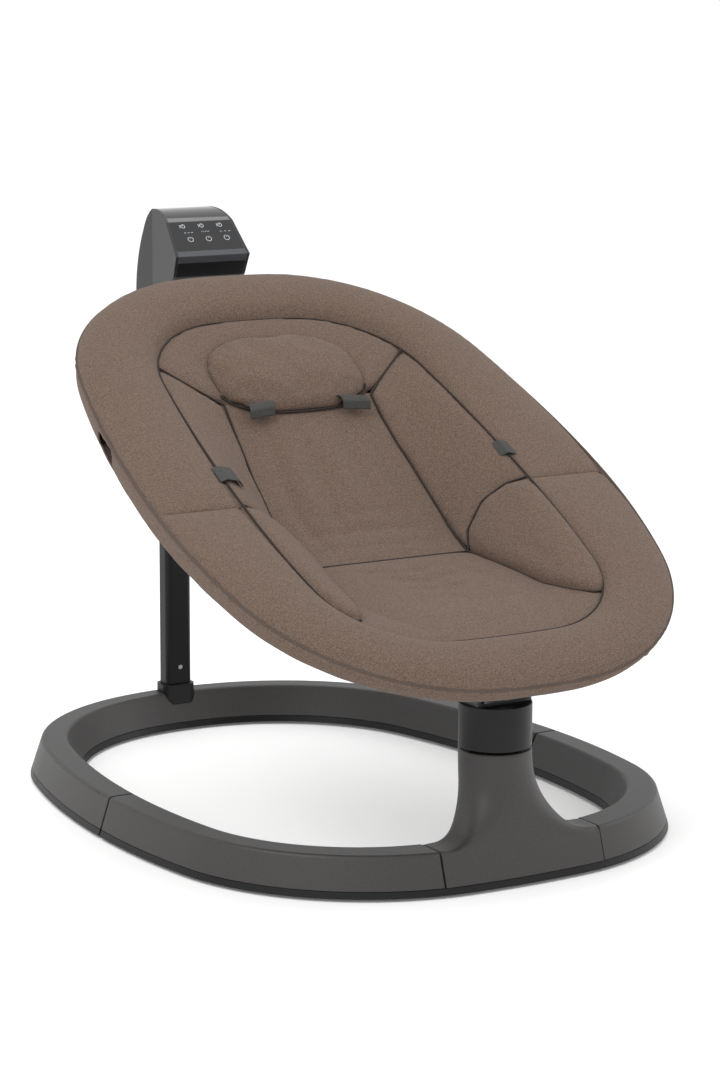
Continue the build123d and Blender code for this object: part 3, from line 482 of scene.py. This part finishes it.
# %% Pillow
def disc_pad(name, outline, depth_at, rise, back, rings=26):
    """Closed crowned pad inside an outline: rings shrink to the centre, height = rise * sqrt(1 - r^4)."""
    centre = outline.mean(axis=0)
    r = np.linspace(0, 1, rings)[:, None, None]
    flat = centre + (outline[None] - centre) * r
    lift = np.sqrt(np.clip(1 - r[..., 0] ** 4, 0, 1)) * np.ones(len(outline))
    gather = 1.6 * np.cos(np.arctan2(*(outline - centre).T[::-1]) * 26)
    low = np.clip((centre[1] - outline[:, 1]) / 30, 0, 1)
    crease = gather * low * np.exp(-(((1 - r[..., 0]) / 0.16) ** 2))
    w = depth_at(flat[..., 1])
    top = np.dstack([flat, w + rise * lift + crease * lift])
    under = np.dstack([flat, w - back * lift])
    verts = np.concatenate([top.reshape(-1, 3), under.reshape(-1, 3)])
    count = len(outline)
    faces = [grid_faces(rings, count, wrap_cols=True)]
    faces.append(grid_faces(rings, count, wrap_cols=True, start=rings * count)[:, ::-1])
    obj = add_mesh(name, to_row(verts), np.concatenate(faces))
    weld_and_face_out(obj)
    return obj


outline = pillow_outline(160)
pillow = disc_pad("soft_headrest_pillow", outline, pillow_depth, 15.0, 6.0)
seam = to_row(np.column_stack([outline, pillow_depth(outline[:, 1])]))
plump(pillow, near_curve(np.concatenate([seam, seam[:1]]), 0.008), cap=0.004, slack=0.02)
soft["headrest_pillow"] = pillow

# %% [markdown]
# ## Rim and cover
# The rim is a filled tube of cover between the inner seam and a piped outer seam, sewn in an upper
# and a lower band.  Outside the piping the cover wraps round the frame and is drawn in underneath by
# a hem; at each side it is left open where a toy bar clips on.

# %% Rim bands
LOOP = 720
rim_line, seam_line = oval_loop(RIM, LOOP), oval_loop(BUCKET, LOOP)


def matched(v_sign):
    """Inner and outer seam points of one band, from its right end round to its left end."""
    quarter_in, quarter_out = oval_quarter(BUCKET, v_sign), oval_quarter(RIM, v_sign)
    ends = []
    for line in (quarter_in, quarter_out):
        half = line[(line[:, 1] - SPLIT_V) * v_sign > 0]
        if v_sign > 0:
            other = oval_quarter(BUCKET if line is quarter_in else RIM, -1)
            extra = other[(other[:, 1] > SPLIT_V)][::-1]
            half = np.concatenate([extra, half]) if len(extra) else half
        else:
            other = oval_quarter(BUCKET if line is quarter_in else RIM, 1)
            extra = other[(other[:, 1] < SPLIT_V)][::-1]
            half = np.concatenate([extra, half]) if len(extra) else half
        ends.append(resample(np.concatenate([half, (half * (-1, 1))[::-1]]), 180))
    return ends


def rim_base(v_sign, across=22):
    inner, outer = matched(v_sign)
    s = np.linspace(0, 1, across)[:, None, None]
    flat = inner[None] * (1 - s) + outer[None] * s
    return np.dstack([flat, np.full(flat.shape[:2], -3.0)])


for name, sign in (("upper", 1), ("lower", -1)):
    base = rim_base(sign)
    climb = np.clip(base[..., 1:2] / 365, 0, 1)
    obj = pad("soft_rim_" + name, base, 15.0 + 7.0 * climb, 7.0, sink=0.5, sharp=2.6)
    plump(obj, near_curve(border(base), 0.012), voxel=0.0055, cap=0.003, pressure=3.0)
    soft["rim_pad_" + name] = obj

# %% Cover, piping and hem
def cover_profile(count):
    """Cover section per loop point: a quarter ellipse from the piping down, then in to the hem.

    inset = a (1 - cos q), depth = b sin q, with a growing from the sides to the front.
    """
    front = np.clip(-rim_line[:, 1] / 300, 0, 1) ** 1.5
    rear = np.clip(rim_line[:, 1] / 365, 0, 1) ** 1.5
    a = 9 + 19 * front + 6 * rear
    b = 27 - 1 * front
    q = np.linspace(0, math.pi / 2, count)[:, None]
    inset, depth = a * (1 - np.cos(q)), b * np.sin(q)
    hem = np.linspace(0, 1, 8)[1:, None]
    inset = np.concatenate([inset, a + (46 - a) * hem])
    depth = np.concatenate([depth, b + 1.5 * np.sin(hem * math.pi) * np.ones_like(b)])
    return inset, -3 - depth


def inward(line):
    tangent = np.roll(line, -1, axis=0) - np.roll(line, 1, axis=0)
    tangent /= np.linalg.norm(tangent, axis=1, keepdims=True)
    return np.stack([-tangent[:, 1], tangent[:, 0]], -1)


inset, depth = cover_profile(16)
ripple = 0.5 * np.sin(np.arange(LOOP) / LOOP * 2 * math.pi * 41) * np.sin(np.arange(LOOP) * 0.05)
inset = inset + ripple * np.linspace(0, 1, len(inset))[:, None]
flat = rim_line[None] + inward(rim_line)[None] * inset[..., None]
lattice = np.dstack([flat, depth])
quads = grid_faces(len(inset), LOOP, wrap_cols=True)
middle = lattice.reshape(-1, 3)[quads].mean(axis=1)
SLOT_V, SLOT_HALF, SLOT_TOP, SLOT_LOW, SLOT_X = 114, 21, -7, -27, 215
slot = (np.abs(middle[:, 1] - SLOT_V) < SLOT_HALF) & (np.abs(middle[:, 0]) > SLOT_X)
slot &= (middle[:, 2] < SLOT_TOP) & (middle[:, 2] > SLOT_LOW)
cover = add_mesh("soft_cover", to_row(lattice), quads[~slot])
weld_and_face_out(cover)
print("cover area", round(sum(face.area for face in cover.data.polygons), 4), "m2")
thick = cover.modifiers.new("cloth thickness", "SOLIDIFY")
thick.thickness, thick.offset, thick.use_even_offset = 0.0018, -1, True
soft["cover_skirt"] = cover


def cord_mesh(name, path, radius, sides=10, closed=True):
    """Round bar on a path: ring of sides points square to the path's direction at every point."""
    p = np.asarray(path, float)
    tangent = np.roll(p, -1, axis=0) - np.roll(p, 1, axis=0) if closed else np.gradient(p, axis=0)
    tangent /= np.linalg.norm(tangent, axis=1, keepdims=True)
    up = np.array([0.0, -math.sin(SEAT_TILT), math.cos(SEAT_TILT)])
    side = np.cross(tangent, up)
    side /= np.linalg.norm(side, axis=1, keepdims=True)
    top = np.cross(side, tangent)
    a = np.arange(sides) / sides * 2 * math.pi
    turned = np.cos(a)[None, :, None] * side[:, None] + np.sin(a)[None, :, None] * top[:, None]
    ring = p[:, None] + radius * turned
    faces = grid_faces(len(p), sides, wrap_rows=closed, wrap_cols=True).tolist()
    if not closed:
        faces += [list(range(sides)), list(range((len(p) - 1) * sides, len(p) * sides))[::-1]]
    obj = add_mesh(name, ring, faces)
    weld_and_face_out(obj, 1e-6)
    return obj


piping = cord_mesh("soft_piping", to_row(np.column_stack([rim_line, np.full(LOOP, -2.6)])), 0.0015)
soft["piping"] = piping
print("cover faces", len(cover.data.polygons))

# %% [markdown]
# ## Seams
# Every panel joint is sewn with a dark thread that lies at the bottom of its groove.

# %% Seam lines
SEAM_RADIUS = 0.0011


def seam_line(name, path, closed=False):
    lowered = np.asarray(path, float) - (0, 0, 0.4)
    soft[name] = cord_mesh("soft_" + name, to_row(lowered), SEAM_RADIUS, 8, closed)


around = oval_loop(BUCKET, 400)
seam_line("seam_bucket", np.column_stack([around, np.zeros(len(around))]), closed=True)
seam_line("seam_pillow", np.column_stack([outline, pillow_depth(outline[:, 1])]), closed=True)
seam_line("seam_fold", smooth_curve([DEEP * MIRROR, DEEP], 60))
for side, turn in (("right", np.ones(3)), ("left", MIRROR)):
    wing = wing_patch()
    seam_line("seam_back_" + side, wing[:, 0] * turn)
    seam_line("seam_hip_" + side, wing[0] * turn)
    seam_line("seam_top_" + side, wing[-1] * turn)
    seam_line("seam_seat_" + side, hip_patch()[:, 0] * turn)
print("seam lines", sum(name.startswith("seam") for name in soft))

# %% [markdown]
# ## Webbing
# Flat woven loops hold the harness: two short ones come out from under the pillow and one crosses
# each flank.

# %% Loops
def strap(name, path, width_axis, width, thick):
    """Flat strap: a rounded rectangle of that width and thickness carried along a path."""
    p, axis = np.asarray(path, float), np.asarray(width_axis, float)
    axis = axis / np.linalg.norm(axis)
    tangent = np.gradient(p, axis=0)
    tangent /= np.linalg.norm(tangent, axis=1, keepdims=True)
    normal = np.cross(tangent, axis)
    normal /= np.linalg.norm(normal, axis=1, keepdims=True)
    a = np.arange(28) / 28 * 2 * math.pi
    x = np.sign(np.cos(a)) * np.abs(np.cos(a)) ** 0.25 * width / 2
    y = np.sign(np.sin(a)) * np.abs(np.sin(a)) ** 0.6 * thick / 2
    ring = p[:, None] + x[None, :, None] * axis + y[None, :, None] * normal[:, None]
    faces = grid_faces(len(p), 28, wrap_cols=True).tolist()
    faces += [list(range(28)), list(range((len(p) - 1) * 28, len(p) * 28))[::-1]]
    obj = add_mesh(name, to_row(ring), faces)
    weld_and_face_out(obj)
    return obj


loops = []
for side in (1, -1):
    base = np.array([(side * 52, 163, -13), (side * 53, 156, -9), (side * 54, 150, -11),
                     (side * 54, 146, -18)], float)
    loops.append(strap(f"loop_head_{'right' if side > 0 else 'left'}", smooth_curve(base, 20, 8),
                       (1, -0.16 * side, 0.0), 30, 1.6))
    reach = 146 if side > 0 else 136
    inner = np.array([(side * 166, 34, 1.5), (side * 158, 36, 2.6), (side * (reach + 7), 38, -2.5),
                      (side * reach, 40, -11)], float)
    loops.append(strap(f"loop_flank_{'right' if side > 0 else 'left'}", smooth_curve(inner, 20, 8),
                       (0, 1, 0), 22, 1.6))
print("straps", len(loops))

# %% [markdown]
# ## Pedestal
# One hollow moulding: its foot continues the ring's section, and its front face sweeps up from the
# ring's outer wall into the round neck, between two concave flanks that run out along the ring.

# %% Pedestal
FOOT_HALF, NECK, TURRET_Y = 86.0, 34.0, -283.0


def outer_wall(x, z):
    """Ring's outer wall ahead of the middle: a circle whose radius shrinks by the wall's lean."""
    return 445 - np.sqrt((790 - 12 * (z - 3) / 37) ** 2 - x ** 2)


def inner_wall(x, z):
    return 451 - np.sqrt((750 - 17 + 17 * (z - 3) / 37) ** 2 - x ** 2)


def foot_band():
    """Ring section between the pedestal's seams: walls, rounded edges and top, per place across."""
    x = np.linspace(-FOOT_HALF, FOOT_HALF, 61)
    rows = [(outer_wall(x, z), z) for z in (9.5, 18, 27, 36)]
    top_out, top_in = outer_wall(x, 40), inner_wall(x, 40)
    rows += [(top_out + d, z) for d, z in ((0.9, 38.4), (2.4, 39.6), (4.0, 40.0))]
    rows += [(top_in - d, z) for d, z in ((4.0, 40.0), (2.4, 39.6), (0.9, 38.4))]
    rows += [(inner_wall(x, z), z) for z in (36, 27, 18, 9.5)]
    lattice = np.array([np.column_stack([x, y, np.full(len(x), z)]) for y, z in rows])
    cols = len(x)
    faces = grid_faces(len(rows), cols, wrap_rows=True).tolist()
    ends = np.arange(len(rows)) * cols
    faces += [ends.tolist(), (ends + cols - 1)[::-1].tolist()]
    obj = add_mesh("pedestal_foot", lattice / 1000, faces)
    weld_and_face_out(obj, 1e-6)
    obj.data.set_sharp_from_angle(angle=math.radians(50))
    return obj


def flare():
    """Superellipse sections that turn from the foot's oblong into the neck's circle.

    half width = neck + reach * (1 - up^0.4545)^2, so the flanks run out level with the ring's top.
    """
    up = np.concatenate([[0, 0, 0], np.linspace(0, 1, 44) ** 2.2])
    z = np.concatenate([[16.0, 27.0, 36.0], 40 + 77 * up[3:]])
    half = NECK + (FOOT_HALF - 0.2 - NECK) * (1 - up ** 0.4545) ** 2
    draw_front, draw_rear = 1 - (1 - up) ** 1.7, 1 - (1 - up) ** 2.4
    low = np.minimum(z, 40)
    proud = np.interp(z, (16, 30, 40), (-1.5, -0.3, 0.25))
    front = (outer_wall(0, low) - proud) * (1 - draw_front) + (TURRET_Y - NECK) * draw_front
    rear = (inner_wall(0, low) - 0.6) * (1 - draw_rear) + (TURRET_Y + NECK) * draw_rear
    power = 2 + 8 * (1 - up) ** 5
    a = np.linspace(0, 2 * math.pi, 160, endpoint=False)[None, :]
    c, q = np.cos(a), np.sin(a)
    bent_c, bent_q = (np.sign(v) * np.abs(v) ** (2 / power[:, None]) for v in (c, q))
    x = half[:, None] * bent_c
    y = (front + rear)[:, None] / 2 + (rear - front)[:, None] / 2 * bent_q
    y = y + x ** 2 / (2 * 790) * (1 - draw_front[:, None])
    lattice = np.dstack([x, y, np.repeat(z[:, None], 160, axis=1)])
    inner = lattice[-1] * (1, 1, 1)
    inner[:, :2] = (0, TURRET_Y) + (inner[:, :2] - (0, TURRET_Y)) * (28.0 / NECK)
    deep = inner - (0, 0, 20)
    lattice = np.concatenate([lattice[:-1], lattice[-1:] - (0, 0, 0.8),
                              ((0, TURRET_Y, 0) + (lattice[-1:] - (0, TURRET_Y, 0)) * (0.975, 0.975, 1)),
                              inner[None], deep[None]])
    rows = len(lattice)
    faces = grid_faces(rows, 160, wrap_cols=True).tolist()
    faces += [list(range(160)), list(range((rows - 1) * 160, rows * 160))[::-1]]
    obj = add_mesh("pedestal_flare", lattice.reshape(-1, 3) / 1000, faces)
    weld_and_face_out(obj, 1e-6)
    return obj


def upright_tube(name, centre, radius, z_low, z_high, count=72):
    a = np.arange(count) / count * 2 * math.pi
    ring = np.column_stack([centre[0] + radius * np.cos(a), centre[1] + radius * np.sin(a)])
    lattice = np.array([np.column_stack([ring, np.full(count, z)]) for z in (z_low, z_high)])
    faces = grid_faces(2, count, wrap_cols=True).tolist()
    faces += [list(range(count)), list(range(count, 2 * count))[::-1]]
    obj = add_mesh(name, lattice / 1000, faces)
    weld_and_face_out(obj, 1e-6)
    obj.data.set_sharp_from_angle(angle=math.radians(40))
    return obj


pedestal = [foot_band(), flare(), upright_tube("pedestal_housing", (0, TURRET_Y), 31, 9.5, 100)]
print("pedestal faces", sum(len(o.data.polygons) for o in pedestal))

# %% [markdown]
# ## Control head
# A glossy touch panel wraps over the nose between two satin side covers.  Its keys are printed
# icons under the gloss, so here they are thin flat shapes laid on the panel's front plane.

# %% Icons and small hardware
NOSE, SHOULDER = np.array([254.0, 521.0]), np.array([284.0, 554.0])
SLOPE = (SHOULDER - NOSE) / np.linalg.norm(SHOULDER - NOSE)


def on_panel(points, lift=0.12):
    """Places (x, distance up the slope) on the touch panel's plane, raised by lift, in metres."""
    p = np.asarray(points, float)
    y = NOSE[0] + p[:, 1] * SLOPE[0] - lift * SLOPE[1]
    z = NOSE[1] + p[:, 1] * SLOPE[1] + lift * SLOPE[0]
    return np.column_stack([p[:, 0], y, z]) / 1000


def stroke(path, width=0.55):
    """Ribbon vertices and faces along a drawn line on the panel."""
    p = np.asarray(path, float)
    t = np.gradient(p, axis=0)
    t /= np.maximum(np.linalg.norm(t, axis=1, keepdims=True), 1e-9)
    n = np.column_stack([-t[:, 1], t[:, 0]]) * width / 2
    layers = [on_panel(p + n, 0.14), on_panel(p - n, 0.14), on_panel(p - n, 0.02), on_panel(p + n, 0.02)]
    verts = np.stack(layers, 1).reshape(-1, 3)
    faces = grid_faces(len(p), 4, wrap_cols=True).tolist()
    return verts, faces + [[3, 2, 1, 0], [len(verts) - 4, len(verts) - 3, len(verts) - 2, len(verts) - 1]]


def arc(x, s, radius, low=0, high=360, count=28):
    a = np.radians(np.linspace(low, high, count))
    return np.column_stack([x + radius * np.cos(a), s + radius * np.sin(a)])


strokes = []
for x, s in ((-21.7, 38.7), (0.2, 38.7), (21.8, 38.6)):
    strokes += [arc(x, s, 2.2), [(x, s), (x, s + 1.4)], [(x - 3.6, s - 2), (x - 3.6, s + 2)]]
for x, s in ((-18.5, 21.7), (2.7, 21.5), (24.0, 21.9)):
    strokes += [arc(x, s, 3.0, 120, 420), [(x, s + 0.6), (x, s + 3.4)]]
for x in (-22, -18, -14, 20, 25, 30):
    strokes.append([(x - 1.1, 30.2), (x + 1.1, 30.2)])
for x in (-2, 0, 2, 4, 6):
    strokes.append([(x, 30.4), (x, 31.6)])
verts, faces, count = [], [], 0
for path in strokes:
    v, f = stroke(path)
    verts.append(v)
    faces += [[i + count for i in face] for face in f]
    count += len(v)
icons = add_mesh("head_icons", np.concatenate(verts), faces, smooth=False)
weld_and_face_out(icons, 1e-6)
print("icon strokes", len(strokes))


def ring_bar(name, centre, radius, wire, axis="y", count=48):
    """Small torus round a point, in the plane square to axis."""
    a = np.arange(count) / count * 2 * math.pi
    b = np.arange(12) / 12 * 2 * math.pi
    r = radius + wire * np.cos(b)[None, :]
    p, q, h = r * np.cos(a)[:, None], r * np.sin(a)[:, None], wire * np.sin(b)[None, :] + np.zeros((count, 1))
    ring = np.dstack([p, h, q] if axis == "y" else [p, q, h]) + np.asarray(centre)
    obj = add_mesh(name, ring / 1000, grid_faces(count, 12, wrap_rows=True, wrap_cols=True))
    weld_and_face_out(obj, 1e-6)
    return obj


snap_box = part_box("snap_button")
snap_mid = (snap_box[0] + snap_box[1]) / 2 * 1000
snap_ring = ring_bar("snap_ring", (snap_mid.x, 334 - 0.1, snap_mid.z), 3.2, 0.45)

# %% [markdown]
# ## Finishes
# Moulded plastic has a fine even grain and a broad soft highlight; the cover is a melange knit
# whose two yarns mix at about a millimetre; the post is dark satin paint.

# %% Materials
def linear(code):
    """Linear colour from an sRGB hex code."""
    c = np.array([int(code[k:k + 2], 16) for k in (1, 3, 5)]) / 255
    out = np.where(c <= 0.04045, c / 12.92, ((c + 0.055) / 1.055) ** 2.4)
    return (*[float(v) for v in out], 1.0)


def add(tree, kind, sockets=(), **props):
    """One shader node with its properties and unlinked values set."""
    node = tree.nodes.new(kind)
    for key, value in props.items():
        setattr(node, key, value)
    for key, value in dict(sockets).items():
        node.inputs[key].default_value = value
    return node


def material(name, colour, rough, spots=None, grain=None, bevel=0.0, coat=0.0, sheen=0.0,
             specular=0.5, metal=0.0):
    """Principled finish; spots = (second colour, size m), grain = (size m, height m)."""
    mat = bpy.data.materials.new(name)
    mat.use_nodes = True
    tree = mat.node_tree
    shader = tree.nodes["Principled BSDF"]
    values = {"Base Color": linear(colour), "Roughness": rough, "Coat Weight": coat, "Sheen Weight": sheen,
              "Specular IOR Level": specular, "Metallic": metal, "Coat Roughness": 0.05,
              "Sheen Roughness": 0.6}
    for key, value in values.items():
        shader.inputs[key].default_value = value
    place = add(tree, "ShaderNodeTexCoord").outputs["Object"]
    if spots:
        noise = add(tree, "ShaderNodeTexNoise", {"Scale": 1 / spots[1], "Detail": 3.0, "Roughness": 0.65})
        tree.links.new(place, noise.inputs["Vector"])
        ramp = add(tree, "ShaderNodeValToRGB")
        for stop, position, code in zip(ramp.color_ramp.elements, (0.36, 0.64), (colour, spots[0])):
            stop.position, stop.color = position, linear(code)
        tree.links.new(noise.outputs["Fac"], ramp.inputs["Fac"])
        tree.links.new(ramp.outputs["Color"], shader.inputs["Base Color"])
    normal = None
    if bevel:
        edge = add(tree, "ShaderNodeBevel", {"Radius": bevel}, samples=4)
        normal = edge.outputs["Normal"]
    if grain:
        fine = add(tree, "ShaderNodeTexNoise", {"Scale": 1 / grain[0], "Detail": 2.0})
        tree.links.new(place, fine.inputs["Vector"])
        bump = add(tree, "ShaderNodeBump", {"Strength": 1.0, "Distance": grain[1]})
        tree.links.new(fine.outputs["Fac"], bump.inputs["Height"])
        if normal:
            tree.links.new(normal, bump.inputs["Normal"])
        normal = bump.outputs["Normal"]
    if normal:
        tree.links.new(normal, shader.inputs["Normal"])
    return mat


# Base yarn, roughness, second yarn with the size of their mixing, stitch size and height
KNIT = ("#53453c", 0.95, ("#736156", 0.0013), (0.0011, 0.00045))
finishes = {
    # warm dark grey polypropylene with a spark-eroded grain
    "ring_plastic": material(
        "grained polypropylene", "#2c2a29", 0.5, ("#353332", 0.0012), (0.0009, 0.00012), 0.0012),
    # near-black satin moulding
    "black_plastic": material(
        "black satin moulding", "#08090a", 0.45, None, (0.0008, 0.00004), 0.0008, specular=0.3),
    "post_paint": material(
        "satin powder coat", "#050506", 0.4, None, (0.0006, 0.00003), 0.0006, specular=0.25),
    "side_plastic": material("satin grey moulding", "#151516", 0.42, None, (0.0007, 0.00003), 0.0010),
    "gloss_black": material("gloss black panel", "#030304", 0.10, coat=0.4, bevel=0.0008),
    "light_plastic": material("frosted light bar", "#3c3e42", 0.35, bevel=0.0005),
    "foot_rubber": material("black rubber", "#151515", 0.8, None, (0.0008, 0.00005)),
    "steel": material("zinc-plated steel", "#a3a4a6", 0.3, metal=1.0, bevel=0.0004),
    "bracket_paint": material("painted bracket", "#242527", 0.4, bevel=0.0006),
    "frame_paint": material("painted tube", "#303134", 0.4),
    "acetal": material("white acetal", "#d9d6cc", 0.4),
    "board_green": material("solder resist", "#1f4d33", 0.4),
    "copper": material("enamelled copper", "#b06a3c", 0.3, metal=1.0),
    "magnet_nickel": material("nickel plate", "#b9bbbd", 0.2, metal=1.0),
    # taupe melange knit, two yarns mixed stitch by stitch
    "cover_fabric": material("melange knit", *KNIT, sheen=0.06, specular=0.1),
    "wing_fabric": material("melange knit sides", *KNIT, sheen=0.06, specular=0.1),
    "sling_fabric": material("woven lining", "#3b3836", 0.9, ("#48443f", 0.0009), (0.0009, 0.0002)),
    "webbing": material("flat webbing", "#2f302e", 0.85, ("#403f3c", 0.0012), (0.0010, 0.0003)),
    "sleeve_plastic": material("dark sleeve", "#34363a", 0.3, bevel=0.0006),
}
print_white = material("pale print", "#c9cdd2", 0.5)
seam_thread = material("seam thread", "#2b231f", 0.95)
piping_cloth = material("seam piping", "#453a33", 0.95, ("#564a42", 0.0009), (0.0010, 0.0003))

# %% Give every piece its finish
slot_of = {entry["node"]: entry["material_slot"] for entry in frame["record"]["subparts"]}
for node, obj in frame["nodes"].items():
    obj.data.materials.clear()
    obj.data.materials.append(finishes[slot_of[node]])
    obj.data.polygons.foreach_set("use_smooth", [True] * len(obj.data.polygons))
    obj.data.set_sharp_from_angle(angle=math.radians(32))


def finish_piece(obj, slot, body, *nodes, mat=None):
    obj.data.materials.clear()
    obj.data.materials.append(mat or finishes[slot])
    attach(obj, body)
    if nodes:
        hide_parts(*nodes)


for name, obj in soft.items():
    if name == "piping" or name.startswith("seam"):
        finish_piece(obj, "cover_fabric", "seat", mat=piping_cloth if name == "piping" else seam_thread)
        continue
    finish_piece(obj, "wing_fabric" if name[:4] in ("side", "hip_") else "cover_fabric", "seat", name)
for obj in loops:
    kind = "head_loops" if "head" in obj.name else "flank_loops"
    finish_piece(obj, "webbing", "seat", kind)
for obj in pedestal:
    finish_piece(obj, "ring_plastic", "base", "pedestal_shell")
finish_piece(icons, "light_plastic", "base", mat=print_white)
finish_piece(snap_ring, "black_plastic", "base")

# %% [markdown]
# ## Floor, light and camera
# A pale sweep of floor with a large soft light overhead and two fills.

# %% Stage
floor = add_mesh("floor", [(-6, -6, 0), (6, -6, 0), (6, 6, 0), (-6, 6, 0)], [(0, 1, 2, 3)], smooth=False)
paint = material("pale floor", "#fbfbfb", 0.6, specular=0.2)
paint.node_tree.nodes["Principled BSDF"].inputs["Emission Color"].default_value = (1, 1, 1, 1)
paint.node_tree.nodes["Principled BSDF"].inputs["Emission Strength"].default_value = 0.09
floor.data.materials.append(paint)
world = bpy.data.worlds.new("studio")
bpy.context.scene.world = world
world.use_nodes = True
world.node_tree.nodes["Background"].inputs["Color"].default_value = (1, 1, 1, 1)
world.node_tree.nodes["Background"].inputs["Strength"].default_value = 1.0


def softbox(name, place, target, size, power):
    data = bpy.data.lights.new(name, "AREA")
    data.shape, data.size, data.energy = "SQUARE", size, power
    obj = bpy.data.objects.new(name, data)
    obj.location = place
    obj.rotation_mode = "QUATERNION"
    obj.rotation_quaternion = (Vector(target) - Vector(place)).to_track_quat("-Z", "Y")
    bpy.context.scene.collection.objects.link(obj)


softbox("key", (-1.8, -0.9, 2.2), (0, 0, 0.3), 1.2, 26)
softbox("top", (0.5, 0.6, 2.6), (0, 0, 0.3), 1.6, 14)
softbox("side", (2.2, -0.6, 1.2), (0, -0.1, 0.25), 0.9, 8)
bpy.context.scene.view_settings.view_transform = "Standard"

# %% Camera
camera_data = bpy.data.cameras.new("camera")
camera_data.sensor_width, camera_data.lens = 36, 106.86
camera_data.clip_start, camera_data.clip_end = 0.05, 50
camera = bpy.data.objects.new("camera", camera_data)
right, up, ahead = (0.8566, -0.516, 0.0036), (0.0938, 0.1626, 0.9822), (0.5075, 0.841, -0.1876)
columns = [Vector(right), Vector(up), -Vector(ahead)]
matrix = Matrix([[columns[c][r] for c in range(3)] for r in range(3)]).to_4x4()
matrix.translation = Vector((-1.5797, -2.6601, 0.8547))
camera.matrix_world = matrix
bpy.context.scene.collection.objects.link(camera)
bpy.context.scene.camera = camera
